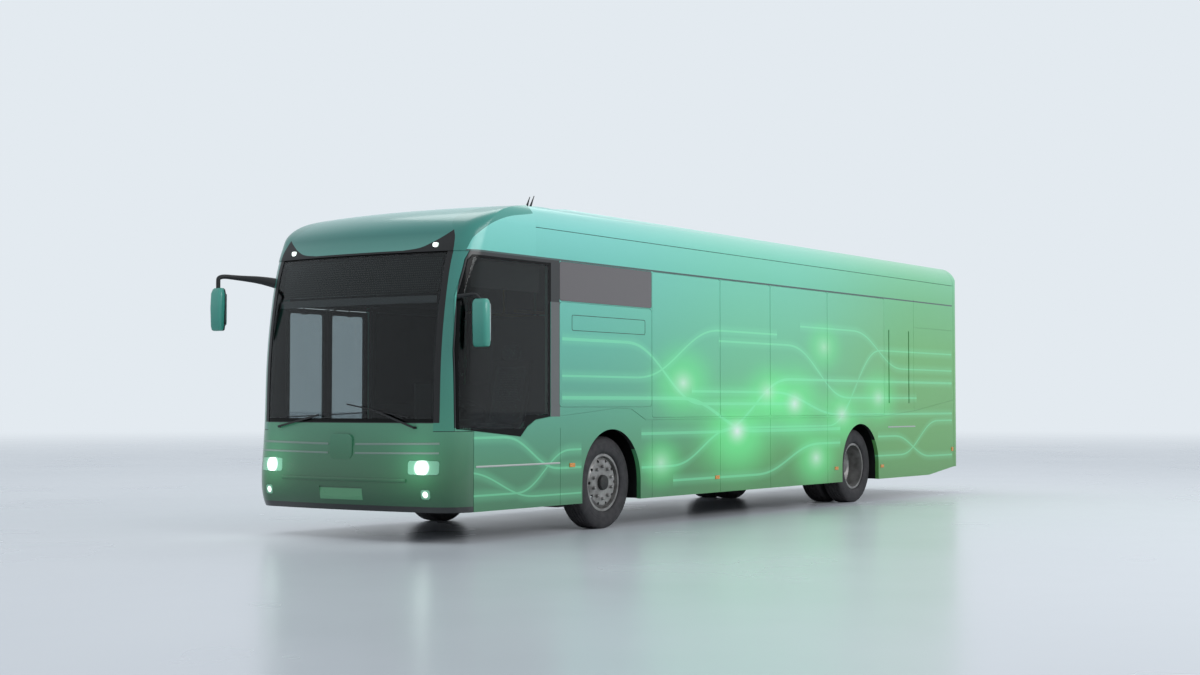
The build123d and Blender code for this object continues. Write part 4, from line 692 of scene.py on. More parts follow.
# Wheels: radial tyres on pressed steel wheels in silver paint, with a black hub and a ring of capped nuts.
# The tread is five ribs of blocks, set round the tyre by geometry nodes.
worn_rubber = finish_of("radial_tyre_rubber", ((0.35, "#242325"), (0.65, "#343133")), {"Roughness": 0.72},
                        (180.0, 0.0004), (14.0, 5.0))
silver_paint = finish_of("silver_painted_steel", ((0.3, "#6E6B69"), (0.55, "#8F8D8B"), (0.75, "#A3A19F")),
                         {"Metallic": 0.55, "Roughness": 0.42}, (60.0, 0.0003), (9.0, 6.0))
black_iron = finish_of("black_coated_cast_iron", ((0.35, "#171717"), (0.7, "#2B2A29")), {"Roughness": 0.6},
                       (90.0, 0.0008), (35.0, 6.0))
TREAD_DEPTH, TREAD_RIBS, TREAD_STEPS = 0.010, 5, 56
TREAD_INSET, RIB_SLANT, RIB_GAP, BLOCK_GAP, TREAD_SUNK, TREAD_SKIN = 0.036, 0.006, 0.004, 0.0015, 0.002, 0.0008
TYRE_RADIUS = tyre_high.z / 2
TYRE_HALF = (tyre_high.y - tyre_low.y) / 2
BEAD_HALF, BEAD_RADIUS, FLANGE_RADIUS = 0.0925, 0.286, 0.3005


def spun(profile, centre, steps):
    """A mesh turned about a line along Y through a centre; the profile's columns are offset along Y and radius."""
    shape = bmesh.new()
    ring = [shape.verts.new((centre[0], centre[1] + offset, centre[2] + radius)) for offset, radius in profile]
    edges = [shape.edges.new(pair) for pair in zip(ring, ring[1:] + ring[:1])]
    bmesh.ops.spin(shape, geom=[*ring, *edges], cent=centre, axis=(0, 1, 0), angle=2 * math.pi, steps=steps,
                   use_merge=True, use_duplicate=False)
    bmesh.ops.remove_doubles(shape, verts=shape.verts, dist=1e-6)
    bmesh.ops.dissolve_degenerate(shape, edges=shape.edges, dist=1e-6)
    bmesh.ops.recalc_face_normals(shape, faces=shape.faces)
    return written(shape)


def harvest(tree, mesh, sizes):
    """Runs a geometry tree on a mesh and returns the result as a plain mesh."""
    base = placed("helper", mesh)
    maker = base.modifiers.new(tree.name, "NODES")
    maker.node_group = tree
    for item in tree.interface.items_tree:
        if item.in_out == "INPUT" and item.name in sizes:
            maker[item.identifier] = sizes[item.name]
    return settled(base)


def grow_tree(name, **inputs):
    """A geometry tree with its named inputs; returns the tree, its input node and its output node."""
    tree = bpy.data.node_groups.new(name, "GeometryNodeTree")
    tree.interface.new_socket(name="Geometry", in_out="INPUT", socket_type="NodeSocketGeometry")
    for label, kind in inputs.items():
        tree.interface.new_socket(name=label, in_out="INPUT", socket_type=f"NodeSocket{kind}")
    tree.interface.new_socket(name="Geometry", in_out="OUTPUT", socket_type="NodeSocketGeometry")
    return tree, add(tree, "NodeGroupInput"), add(tree, "NodeGroupOutput")


def finish_tree(tree, outlet, geometry, finish):
    """Ends a geometry tree: instances made real, and the finish set."""
    real = add(tree, "GeometryNodeRealizeInstances", {"Geometry": geometry})
    coat = add(tree, "GeometryNodeSetMaterial", {"Geometry": real.outputs[0], "Material": finish})
    tree.links.new(coat.outputs[0], outlet.inputs[0])


# The tree that turns one block into a ring of blocks about a wheel's axle
round_tree, inlet, outlet = grow_tree("blocks_round_a_tyre", Count="Int", Centre="Vector")
turn = add(round_tree, "ShaderNodeMath", {0: 2 * math.pi, 1: inlet.outputs["Count"]}, operation="DIVIDE")
copies = add(round_tree, "GeometryNodeDuplicateElements", {"Geometry": add(
    round_tree, "GeometryNodeGeometryToInstance", {0: inlet.outputs["Geometry"]}).outputs[0],
    "Amount": inlet.outputs["Count"]}, domain="INSTANCE")
angle = add(round_tree, "ShaderNodeMath", {0: copies.outputs["Duplicate Index"], 1: turn.outputs[0]},
            operation="MULTIPLY")
spin = add(round_tree, "GeometryNodeRotateInstances", {
    "Instances": copies.outputs["Geometry"], "Local Space": False, "Pivot Point": inlet.outputs["Centre"],
    "Rotation": add(round_tree, "ShaderNodeCombineXYZ", {"Y": angle.outputs[0]}).outputs[0]})
finish_tree(round_tree, outlet, spin.outputs[0], worn_rubber)


def tread_sector(centre):
    """One step of the tread: a slanted block of each rib, as deep as the grooves between them."""
    shape = bmesh.new()
    width = 2 * (TYRE_HALF - TREAD_INSET)
    step = 2 * math.pi * TYRE_RADIUS / TREAD_STEPS
    pitch = width / TREAD_RIBS
    reach = pitch / 2 - RIB_GAP
    for rib in range(TREAD_RIBS):
        middle = -width / 2 + pitch * (rib + 0.5)
        slant = RIB_SLANT * (1 if rib % 2 else -1)
        corners = []
        for y, lean in ((-reach, -slant), (reach, slant)):
            for x in (-step / 2 + BLOCK_GAP, step / 2 - BLOCK_GAP):
                for z in (TYRE_RADIUS - TREAD_DEPTH - TREAD_SUNK, TYRE_RADIUS - TREAD_SKIN):
                    corners.append(shape.verts.new((centre[0] + x + lean, centre[1] + middle + y, centre[2] + z)))
        for quad in ((0, 1, 3, 2), (4, 6, 7, 5), (0, 4, 5, 1), (2, 3, 7, 6), (1, 5, 7, 3)):
            shape.faces.new([corners[index] for index in quad])
    bmesh.ops.recalc_face_normals(shape, faces=shape.faces)
    return written(shape)


def tyre_profile():
    """Half of the section is written, from bead to tread edge, and mirrored."""
    half = ((BEAD_HALF, BEAD_RADIUS), (BEAD_HALF, FLANGE_RADIUS + 0.001), (0.108, 0.303), (0.118, 0.308),
            (0.128, 0.320), (0.1335, 0.338), (0.1362, 0.356), (0.1375, 0.368), (0.1366, 0.371), (0.1378, 0.376),
            (0.1378, 0.392), (0.1362, 0.396), (0.1368, 0.402), (0.133, 0.425), (0.127, 0.447), (0.118, 0.462),
            (0.108, TYRE_RADIUS - 0.007), (0.102, TYRE_RADIUS - 0.0035), (0.102, TYRE_RADIUS - TREAD_DEPTH))
    return [*half, *((-offset, radius) for offset, radius in reversed(half))]


NUTS, NUT_CIRCLE, HUB_OUT, TYRE_STEPS, HUB_STEPS, NUT_STEPS = 10, 0.1675, 0.094, 96, 48, 12
# Offset from the wheel and radius, from the middle of the cap to its foot
HUB_CAP = ((0.0, 0.080), (0.022, 0.079), (0.032, 0.074), (0.036, 0.060), (0.038, 0.030), (0.039, 0.0), (0.0, 0.0))
NUT_CAP = ((0.0, 0.0178), (0.012, 0.0176), (0.024, 0.0150), (0.030, 0.0090), (0.0315, 0.0), (0.0, 0.0))
FRONT_TRACK_HALF = (tyre_low.y + tyre_high.y) / 2
rear_low, rear_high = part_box("rear_tyres_left")
REAR_X = (rear_low.x + rear_high.x) / 2
REAR_OUTER = rear_high.y - TYRE_HALF
REAR_INNER = rear_low.y + TYRE_HALF
for side, sign in SIDES:
    places = (("front", AXLE_X, (FRONT_TRACK_HALF,), f"front_wheel_{side}", f"front_tyre_{side}"),
              ("rear", REAR_X, (REAR_OUTER, REAR_INNER), f"rear_wheels_{side}", f"rear_tyres_{side}"))
    for end, x, tracks, body, node in places:
        for index, track in enumerate(tracks):
            centre = (x, sign * track, TYRE_RADIUS)
            name = f"{end}_tyre_{side}_{index}"
            piece(name, spun(tyre_profile(), centre, TYRE_STEPS), worn_rubber, body, STRIP_CREASE, node)
            blocks = harvest(round_tree, tread_sector(centre), {"Count": TREAD_STEPS, "Centre": centre})
            piece(f"{name}_tread", blocks, worn_rubber, body, replaced=node)
    dress(silver_paint, f"front_rim_{side}", f"rear_rims_{side}")
    dress(black_iron, f"knuckle_{side}")
    centre = (AXLE_X, sign * (FRONT_TRACK_HALF + HUB_OUT), TYRE_RADIUS)
    cap = spun([(sign * out, radius) for out, radius in HUB_CAP], centre, HUB_STEPS)
    piece(f"front_hub_cap_{side}", cap, black_iron, f"front_wheel_{side}")
    nut = spun([(sign * out, radius) for out, radius in NUT_CAP],
               (AXLE_X, centre[1], TYRE_RADIUS + NUT_CIRCLE), NUT_STEPS)
    nuts = harvest(round_tree, nut, {"Count": NUTS, "Centre": centre})
    piece(f"front_nut_caps_{side}", nuts, silver_paint, f"front_wheel_{side}", STRIP_CREASE)
dress(black_iron, "front_axle", "rear_axle")

# Plain coated pieces: underbody equipment, housings, door frames, wipers and the roof's units. They are grained
# polypropylene, coated sheet and satin black aluminium.
black_moulding = finish_of("black_grained_polypropylene", "#151617", {"Roughness": 0.5}, (220.0, 0.0004))
dress(black_moulding, "wheel_housings", "wipers")
roof_paint, tree, place, _ = material("dusty_grey_painted_sheet")
dust = add(tree, "ShaderNodeTexNoise", {"Vector": place, "Scale": 3.0, "Detail": 6.0})
colour = ramp(tree, dust.outputs["Fac"], ((0.3, "#A3A8AB"), (0.7, "#BFC4C6")))
# Painted shade: faces of the sheet that look down get the near-black of the inside, though the sheet is light grey
under = reckoned(tree, "LESS_THAN", facing(tree, "Z"), UNDERNEATH)
surface(tree, {"Base Color": blended(tree, under, colour, INNER_SHADE), "Roughness": 0.5})
dress(roof_paint, "roof_skin", "battery_packs", "roof_aircon")
satin_black = finish_of("satin_black_coated_aluminium", "#17181A", {"Metallic": 0.2, "Roughness": 0.38},
                        (300.0, 0.0002))
underbody_coat = finish_of("underbody_coat_on_steel", "#1E1E1E", {"Roughness": 0.8}, (80.0, 0.001))
dress(underbody_coat, "drive_unit")

# Trim strips: extruded aluminium, brushed and anodised, clipped along the sides. Those on the front's two creases
# are satin, with a grey-green colour that is a painted reflection of the green panel round them, and a moulded ledge
# runs under them.
BRUSH_STRETCH, BRUSH_ROUGHNESS = (4, 4, 600), (0.28, 0.42)
brushed_trim, tree, place, _ = material("brushed_anodised_aluminium")
fine = add(tree, "ShaderNodeVectorMath", {0: place, 1: BRUSH_STRETCH}, operation="MULTIPLY").outputs[0]
brush = add(tree, "ShaderNodeTexNoise", {"Vector": fine, "Scale": 1.0, "Detail": 3.0})
surface(tree, {"Base Color": linear("#B9BDB8"), "Metallic": 0.7,
               "Roughness": ranged(tree, brush.outputs["Fac"], 0.3, 0.7, *BRUSH_ROUGHNESS)})
# Painted reflection: the strips' grey-green stands for the green panel reflected in them
front_strip_metal = finish_of("satin_anodised_aluminium", "#7E9488", {"Metallic": 0.4, "Roughness": 0.36},
                              (30.0, 0.0002))
STRIP_PROUD, STRIP_SUNK, STRIP_SHOULDER, STRIP_FLAT = 0.004, 0.003, 0.7, 0.4
FRONT_STRIPS = (
    # height at its inner and outer end, half its height
    (0.918, 0.931, 0.010), (0.833, 0.843, 0.009),
)
FRONT_STRIP_ENDS, STRIP_PARTS = (0.172, 1.120), 26
panel_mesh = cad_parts["front_panel"].data
front_skin = BVHTree.FromPolygons([vertex.co[:] for vertex in panel_mesh.vertices],
                                  [face.vertices[:] for face in panel_mesh.polygons])


def front_face(y, z):
    """How far forward the front panel stands at a place and height."""
    return front_skin.ray_cast((AXLE_X + 5, y, z), (-1, 0, 0))[0].x


def clipped_strip(name, path, half, proud, finish):
    """A strip along points on the front panel, with a crowned face and square ends."""
    section = ((-STRIP_SUNK, -half), (proud * STRIP_SHOULDER, -half), (proud, -half * STRIP_FLAT),
               (proud, half * STRIP_FLAT), (proud * STRIP_SHOULDER, half), (-STRIP_SUNK, half))
    rings = [[(front_face(y, z) + out, y, z + up) for out, up in section] for y, z in path]
    piece(name, stack_rings(rings), finish, crease=STRIP_CREASE)


for row, (inner_z, outer_z, half) in enumerate(FRONT_STRIPS):
    for side, sign in SIDES:
        path = []
        for step in range(STRIP_PARTS + 1):
            y = FRONT_STRIP_ENDS[0] + (FRONT_STRIP_ENDS[1] - FRONT_STRIP_ENDS[0]) * step / STRIP_PARTS
            path.append((sign * y, inner_z + (outer_z - inner_z) * step / STRIP_PARTS))
        clipped_strip(f"front_strip_{row}_{side}", path, half, STRIP_PROUD, front_strip_metal)
LEDGE_HALF, LEDGE_Z, LEDGE_TALL, LEDGE_PROUD = 0.79, 0.585, 0.016, 0.012
ledge_path = [(LEDGE_HALF * (2 * step / STRIP_PARTS - 1), LEDGE_Z) for step in range(STRIP_PARTS + 1)]
clipped_strip("bumper_ledge", ledge_path, LEDGE_TALL, LEDGE_PROUD, front_enamel)
SEAM_TALL, SEAM_OUT, SEAM_IN, SEAM_PARTS = 0.008, -0.004, -0.030, 40
SEAMS = (
    # name, its two ends, its height, the height at which the panel is measured
    ("screen_foot_seal", -1.048, 1.048, 1.119, 1.112), ("arch_foot_seal_left", 1.050, 1.256, 1.0435, 1.036),
    ("arch_foot_seal_right", -1.256, -1.050, 1.0435, 1.036),
)
SEAM_SECTION = ((SEAM_IN, -SEAM_TALL), (SEAM_OUT, -SEAM_TALL), (SEAM_OUT, SEAM_TALL), (SEAM_IN, SEAM_TALL))
for name, low_y, high_y, z, read_z in SEAMS:
    across_it = [low_y + (high_y - low_y) * step / SEAM_PARTS for step in range(SEAM_PARTS + 1)]
    rings = [[(front_face(y, read_z) + out, y, z + up) for out, up in SEAM_SECTION] for y in across_it]
    piece(name, stack_rings(rings), black_moulding, crease=STRIP_CREASE)
SIDE_STRIPS = (
    # side, rear end, front end, height
    ("left", 0.940, 2.285, 0.710), ("left", -7.640, -6.750, 0.985), ("right", -7.640, -6.750, 0.985),
)
SIDE_SECTION = ((1.272, -0.009), (1.2775, -0.009), (1.2795, -0.004), (1.2795, 0.004), (1.2775, 0.009), (1.272, 0.009))
for row, (side, rear, front, z) in enumerate(SIDE_STRIPS):
    rings = [[(AXLE_X + x, dict(SIDES)[side] * y, z + up) for y, up in SIDE_SECTION] for x in (rear, front)]
    piece(f"side_strip_{side}_{row}", stack_rings(rings), brushed_trim, crease=STRIP_CREASE)

# Mirrors: moulded shells painted like the body on black arms, with a silvered pane in the back of each shell. The
# right one hangs ahead of the windscreen from a long arm that tapers outwards.
MIRROR_SPLIT, MIRROR_TINT, MIRROR_BACK = 2.838, (1.8, 2.4), -0.7
green_shell, tree, place, axes = material("green_painted_mirror_shell")
tint = ramp(tree, ranged(tree, axes["Z"], *MIRROR_TINT), ((0.0, "#2F8A78"), (1.0, "#4BAA97")))
rear_half = reckoned(tree, "MULTIPLY", reckoned(tree, "LESS_THAN", axes["Y"], 0.0),
                     reckoned(tree, "LESS_THAN", axes["X"], AXLE_X + MIRROR_SPLIT))
shade = reckoned(tree, "MAXIMUM", rear_half, reckoned(tree, "LESS_THAN", facing(tree, "X"), MIRROR_BACK))
surface(tree, {"Base Color": blended(tree, shade, tint, LIP_BLACK), "Roughness": 0.3, "Coat Weight": 0.4,
               "Coat Roughness": 0.08, "Normal": waves(tree, place, 6.0, 0.0006)})
silvered = finish_of("silvered_mirror_glass", "#D9DEE0", {"Metallic": 1.0, "Roughness": 0.03}, (3.0, 0.0002))


def rounded_ring(z, low_x, high_x, low_y, high_y, radius, steps=5):
    """The points of a level rectangle with rounded corners."""
    ring = []
    for turn, (x, y) in enumerate(((high_x, high_y), (low_x, high_y), (low_x, low_y), (high_x, low_y))):
        inner_x = x - math.copysign(radius, x - (low_x + high_x) / 2)
        inner_y = y - math.copysign(radius, y - (low_y + high_y) / 2)
        for step in range(steps + 1):
            angle = math.pi / 2 * (turn + step / steps)
            ring.append((inner_x + radius * math.cos(angle), inner_y + radius * math.sin(angle), z))
    return ring


def tube(points, radii):
    """A smooth tube along points, with its own radius at each."""
    line = bpy.data.curves.new("tube", "CURVE")
    line.dimensions, line.bevel_depth, line.bevel_resolution, line.use_fill_caps = "3D", 1.0, 5, True
    spline = line.splines.new("NURBS")
    spline.points.add(len(points) - 1)
    for spot, point, radius in zip(spline.points, points, radii):
        spot.co, spot.radius = (*point, 1), radius
    spline.order_u, spline.use_endpoint_u, spline.resolution_u = 3, True, 8
    return settled(placed("helper", line))


def shifted(points):
    """Points measured from the front axle, brought into the frame."""
    return [(AXLE_X + point[0], *point[1:]) for point in points]


MIRROR_SHELLS = (
    # side, then levels: height, rear, front, inner, outer, corner radius
    ("left", ((1.824, 2.432, 2.490, 1.412, 1.540, 0.018), (1.832, 2.420, 2.502, 1.402, 1.552, 0.026),
              (1.860, 2.414, 2.512, 1.396, 1.560, 0.034), (2.060, 2.416, 2.520, 1.394, 1.562, 0.038),
              (2.220, 2.418, 2.522, 1.394, 1.560, 0.038), (2.252, 2.424, 2.512, 1.402, 1.550, 0.030),
              (2.266, 2.436, 2.496, 1.416, 1.534, 0.020))),
    ("right", ((2.028, 2.812, 2.866, -1.622, -1.512, 0.018), (2.038, 2.802, 2.880, -1.634, -1.500, 0.026),
               (2.075, 2.796, 2.892, -1.640, -1.494, 0.034), (2.260, 2.792, 2.902, -1.640, -1.484, 0.036),
               (2.400, 2.796, 2.900, -1.634, -1.484, 0.036), (2.442, 2.804, 2.886, -1.620, -1.494, 0.028),
               (2.456, 2.816, 2.870, -1.606, -1.508, 0.018))),
)
MIRROR_ARMS = (
    ("left", ((2.520, 1.240, 2.292), (2.500, 1.330, 2.306), (2.470, 1.440, 2.312), (2.466, 1.470, 2.240)),
     (0.022, 0.016, 0.015, 0.015)),
    ("right", ((2.420, -1.150, 2.505), (2.480, -1.300, 2.545), (2.640, -1.480, 2.566), (2.850, -1.560, 2.580),
               (2.852, -1.562, 2.500), (2.850, -1.560, 2.400)), (0.055, 0.042, 0.026, 0.022, 0.022, 0.022)),
)
for (side, levels), (_, points, radii) in zip(MIRROR_SHELLS, MIRROR_ARMS):
    rings = [rounded_ring(z, AXLE_X + low_x, AXLE_X + high_x, *rest) for z, low_x, high_x, *rest in levels]
    piece(f"mirror_shell_{side}", stack_rings(rings), green_shell, crease=ROUNDED_CREASE,
          replaced=f"mirror_{side}")
    piece(f"mirror_arm_{side}", tube(shifted(points), radii), black_moulding, crease=ROUNDED_CREASE,
          replaced=f"mirror_{side}")
MIRROR_ROUND, MIRROR_LIFT = 0.03, 0.003
MIRROR_PANES = (
    # side, station, then the inner lower and the outer upper corner
    ("left", 2.416, (1.412, 1.862), (1.546, 2.232)), ("right", 2.794, (-1.624, 2.078), (-1.500, 2.412)),
)


def rounded_plate(low, high, radius):
    """A thin plate across X between two corners, with rounded corners."""
    outline = rounded_ring(0.0, low[1], high[1], low[2], high[2], radius, 6)
    return stack_rings([[(x, y, z) for y, z, _ in outline] for x in (low[0], high[0])])


for side, x, low, high in MIRROR_PANES:
    mesh = rounded_plate((AXLE_X + x - MIRROR_LIFT, *low), (AXLE_X + x + MIRROR_LIFT, *high), MIRROR_ROUND)
    piece(f"mirror_glass_{side}", mesh, silvered)

# Locker cover and aerials: the filler cover in the left side's upper panel shows its thin rubber joint, and two
# short whip aerials stand on the roof behind the crown.
COVER = (-0.633, 0.729, 2.040, 2.195, 0.02)  # rear end, front end, foot, head, corner radius
COVER_Y, COVER_CORD, AERIAL_RADII = 1.2752, 0.0026, (0.012, 0.006, 0.004)
cover_ring = rounded_ring(0.0, AXLE_X + COVER[0], AXLE_X + COVER[1], *COVER[2:])
cover_path = [(x, COVER_Y, z) for x, z, _ in cover_ring + cover_ring[:2]]
piece("locker_joint", tube(cover_path, [COVER_CORD] * len(cover_path)), black_moulding)
AERIALS = (((1.120, 1.0, 3.285), (1.098, 1.0, 3.335), (1.075, 1.0, 3.375)),
           ((1.062, 1.0, 3.285), (1.030, 1.0, 3.345), (1.003, 1.0, 3.392)))
for count, points in enumerate(AERIALS):
    piece(f"aerial_{count}", tube(shifted(points), AERIAL_RADII), black_moulding)

# Door leaves: coated aluminium frames round bonded panes, on turning pillars, with a hollow rubber seal along
# the edge where the two leaves of a doorway meet.
soft_rubber = finish_of("black_epdm_seal", "#121314", {"Roughness": 0.68}, (120.0, 0.0004))
HEADER_LIPS = (("front", 0.970, 2.230), ("middle", -3.430, -2.170))
LIP_SECTION = ((-1.2735, 2.332), (-1.2745, 2.316), (-1.2725, 2.300), (-1.2690, 2.2885), (-1.2660, 2.290),
               (-1.2675, 2.302), (-1.2685, 2.318), (-1.2665, 2.332))
for doorway, rear, front in HEADER_LIPS:
    rings = [[(AXLE_X + x, y, z) for y, z in LIP_SECTION] for x in (rear, front)]
    piece(f"{doorway}_header_lip", stack_rings(rings), soft_rubber, crease=STRIP_CREASE)
EDGE_SEAL, SEAL_FOOT, SEAL_HEAD, SEAL_OUTER, SEAL_INNER = 0.0034, 0.392, 2.272, -1.262, -1.192
SEAL_SECTION = (
    # out from the leaf's edge, left of the middle
    (-0.001, SEAL_OUTER), (EDGE_SEAL * 0.8, SEAL_OUTER + 0.004), (EDGE_SEAL, SEAL_OUTER + 0.014),
    (EDGE_SEAL, SEAL_INNER - 0.014), (EDGE_SEAL * 0.8, SEAL_INNER - 0.004), (-0.001, SEAL_INNER),
)
for door in ("front_door", "middle_door"):
    for leaf, end, way in (("fore", 0, -1), ("aft", 1, 1)):
        name = f"{door}_{leaf}"
        dress(satin_black, f"{name}_pillar", f"{name}_leaf")
        dress(door_glass, f"{name}_glass")
        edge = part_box(f"{name}_leaf")[end].x
        rings = [[(edge + way * out, y, z) for out, y in SEAL_SECTION] for z in (SEAL_FOOT, SEAL_HEAD)]
        piece(f"{name}_seal", stack_rings(rings), soft_rubber, f"{name}_leaf", STRIP_CREASE)

# Seats: moulded grey shells on steel feet, with foam cushions in woven moquette. The cushions are cloth blown up
# over their foam and held near it, so they are crowned and pull in between their corners. The driver's seat
# stands on bellows and has a head rest, and a black welt runs round each of its cushions.
WEAVE_PITCH = 0.006  # coarser than the real 1.5 mm yarn, so that it still shows
FLECK_SIZE = 0.22
moquette, tree, place, axes = material("woven_wool_moquette")
yarns = 0.0
for axis in ("X", "Y", "Z"):
    wave = reckoned(tree, "SINE", reckoned(tree, "MULTIPLY", axes[axis], 2 * math.pi / WEAVE_PITCH))
    yarns = reckoned(tree, "ADD", yarns, wave)
fleck = add(tree, "ShaderNodeTexVoronoi", {"Vector": place, "Scale": 38.0})
ground = ramp(tree, ranged(tree, yarns, -2.0, 2.0), ((0.0, "#22303A"), (1.0, "#34454F")))
colour = blended(tree, reckoned(tree, "LESS_THAN", fleck.outputs["Distance"], FLECK_SIZE), ground, "#4E9A82")
cloth_bump = add(tree, "ShaderNodeBump", {"Height": yarns, "Distance": 0.0007})
surface(tree, {"Base Color": colour, "Roughness": 0.9, "Sheen Weight": 0.3, "Sheen Roughness": 0.5,
               "Normal": cloth_bump.outputs["Normal"]})
PRESSURE, CLOTH_FRAMES, PAD_CORNER = 4, 20, 0.05
PAD_LEVELS = ((0.0, 0.016), (0.22, 0.004), (0.5, 0.0), (0.8, 0.005), (1.0, 0.020))  # part of its height, inset


def plumped(length, width, thick, voxel, cap):
    """A flat cushion's mesh, blown up as cloth and held near its foam; it lies at the origin, its underside down."""
    rings = [rounded_ring(part * thick, inset, length - inset, inset - width / 2, width / 2 - inset, PAD_CORNER)
             for part, inset in PAD_LEVELS]
    base = placed("helper", stack_rings(rings))
    voxels = base.modifiers.new("voxels", "REMESH")
    voxels.mode, voxels.voxel_size = "VOXEL", voxel
    foam = settled(base)
    base = placed("helper", foam)
    cloth = base.modifiers.new("cloth", "CLOTH")
    cloth.settings.use_pressure = True
    cloth.settings.uniform_pressure_force = PRESSURE
    cloth.settings.effector_weights.gravity = 0
    for frame_number in range(1, CLOTH_FRAMES + 1):
        bpy.context.scene.frame_set(frame_number)
    swollen = base.evaluated_get(bpy.context.evaluated_depsgraph_get()).data
    places = [vertex.co.copy() for vertex in swollen.vertices]
    bpy.data.objects.remove(base)
    for vertex, spot in zip(foam.vertices, places):
        move = spot - vertex.co
        vertex.co += move * min(1, cap / max(move.length, 1e-9))
    bpy.context.scene.frame_set(1)
    foam.shade_smooth()
    return foam


def laid(*places):
    """One mesh of several meshes, each at its own place."""
    shape = bmesh.new()
    for mesh, place in places:
        copy = mesh.copy()
        copy.transform(place)
        shape.from_mesh(copy)
        bpy.data.meshes.remove(copy)
    return written(shape)


def set_down(x, y, z, pitch):
    """The place of a cushion whose rear lower edge is at a point, turned up by a pitch."""
    return Matrix.Translation((AXLE_X + x, y, z)) @ Matrix.Rotation(-pitch, 4, "Y")


def profile_block(outline, low_y, high_y):
    """A moulded panel with a side outline in X and Z, between two sides."""
    return stack_rings([[(AXLE_X + x, y, z) for x, z in outline] for y in (low_y, high_y)])


SEAT_ROWS = (
    # station, side, height of the floor under it
    (-1.25, 1, 0.34), (-2.05, 1, 0.34), (-2.85, 1, 0.34), (-3.65, 1, 0.34), (-1.25, -1, 0.34), (-4.3, -1, 0.34),
    (-6.9, 1, 0.8), (-6.9, -1, 0.8), (-7.7, 1, 0.8), (-7.7, -1, 0.8),
)
SEAT_PLACES, SEAT_WIDE, SHELL_ENDS, FOOT_Y, FOOT_CORNER = (0.548, 0.972), 0.405, (0.332, 1.188), 0.76, 0.02
PAD_THICK, PAD_VOXEL, PAD_CAP = 0.030, 0.012, 0.008
# Station and height of a cushion's rear lower edge, and its pitch
SEAT_PAD, BACK_PAD = (0.080, 0.434, 0.054), (0.012, 0.478, math.radians(99.3))
SHELL_OUTLINE = ((0.0, 0.402), (0.425, 0.422), (0.432, 0.438), (0.425, 0.446), (0.062, 0.426), (0.030, 0.440),
                 (-0.088, 1.166), (-0.098, 1.172), (-0.108, 1.166), (-0.106, 1.130), (-0.022, 0.420))
FOOT_RINGS = (
    # height, rear end, front end, half the width
    (0.001, 0.10, 0.26, 0.10), (0.012, 0.10, 0.26, 0.10), (0.016, 0.15, 0.21, 0.035), (0.36, 0.15, 0.21, 0.035),
    (0.41, 0.08, 0.30, 0.12),
)
seat_cushion = plumped(0.345, SEAT_WIDE, PAD_THICK, PAD_VOXEL, PAD_CAP)
back_cushion = plumped(0.660, SEAT_WIDE, PAD_THICK, PAD_VOXEL, PAD_CAP)
shells, feet = [], []
for row, (station, side, floor) in enumerate(SEAT_ROWS):
    outline = [(station + x, floor + z) for x, z in SHELL_OUTLINE]
    shells.append((profile_block(outline, *(side * end for end in SHELL_ENDS)), Matrix.Identity(4)))
    rings = [rounded_ring(floor + z, AXLE_X + station + low_x, AXLE_X + station + high_x, side * FOOT_Y - half_y,
                          side * FOOT_Y + half_y, FOOT_CORNER) for z, low_x, high_x, half_y in FOOT_RINGS]
    feet.append((stack_rings(rings), Matrix.Identity(4)))
    pads = [(cushion, set_down(station + x, side * y, floor + z, pitch)) for y in SEAT_PLACES
            for cushion, (x, z, pitch) in ((seat_cushion, SEAT_PAD), (back_cushion, BACK_PAD))]
    cushions = piece(f"passenger_cushions_{row}", laid(*pads), moquette, crease=SOFT_CREASE,
                     replaced="passenger_seats")
for label, parts, finish in (("shells", shells, grained_plastic), ("feet", feet, coated_tube)):
    piece(f"passenger_seat_{label}", laid(*parts), finish, replaced="passenger_seats")
DRIVER_X, DRIVER_Y, DRIVER_HALF = 1.12, 0.69, 0.235
DRIVER_SHELL = ((-0.035, 0.985), (0.455, 1.008), (0.475, 1.020), (0.460, 1.030), (0.050, 1.010), (-0.005, 1.050),
                (-0.165, 1.715), (-0.178, 1.738), (-0.196, 1.730), (-0.192, 1.690))
BELLOWS_REAR, BELLOWS_FRONT, BELLOWS_HALF, BELLOWS_CORNER = 0.07, 0.39, 0.165, 0.04
BELLOWS = (
    # height, inset
    (0.562, 0.00), (0.58, 0.00), (0.60, 0.03), (0.64, 0.005), (0.68, 0.03), (0.72, 0.005), (0.76, 0.03),
    (0.80, 0.005), (0.84, 0.03), (0.88, 0.005), (0.92, 0.03), (0.95, 0.0), (0.982, 0.0),
)
outline = [(DRIVER_X + x, z) for x, z in DRIVER_SHELL]
piece("driver_seat_shell", profile_block(outline, DRIVER_Y - DRIVER_HALF, DRIVER_Y + DRIVER_HALF), grained_plastic,
      crease=ROUNDED_CREASE, replaced="driver_seat")
rings = [rounded_ring(z, AXLE_X + DRIVER_X + BELLOWS_REAR + inset, AXLE_X + DRIVER_X + BELLOWS_FRONT - inset,
                      DRIVER_Y - BELLOWS_HALF + inset, DRIVER_Y + BELLOWS_HALF - inset, BELLOWS_CORNER)
         for z, inset in BELLOWS]
piece("driver_seat_bellows", stack_rings(rings), black_moulding, crease=SOFT_CREASE,
      replaced="driver_seat")
DRIVER_VOXEL, DRIVER_CAP, WELT_RADIUS, WELT_OUT = 0.009, 0.012, 0.004, 0.002
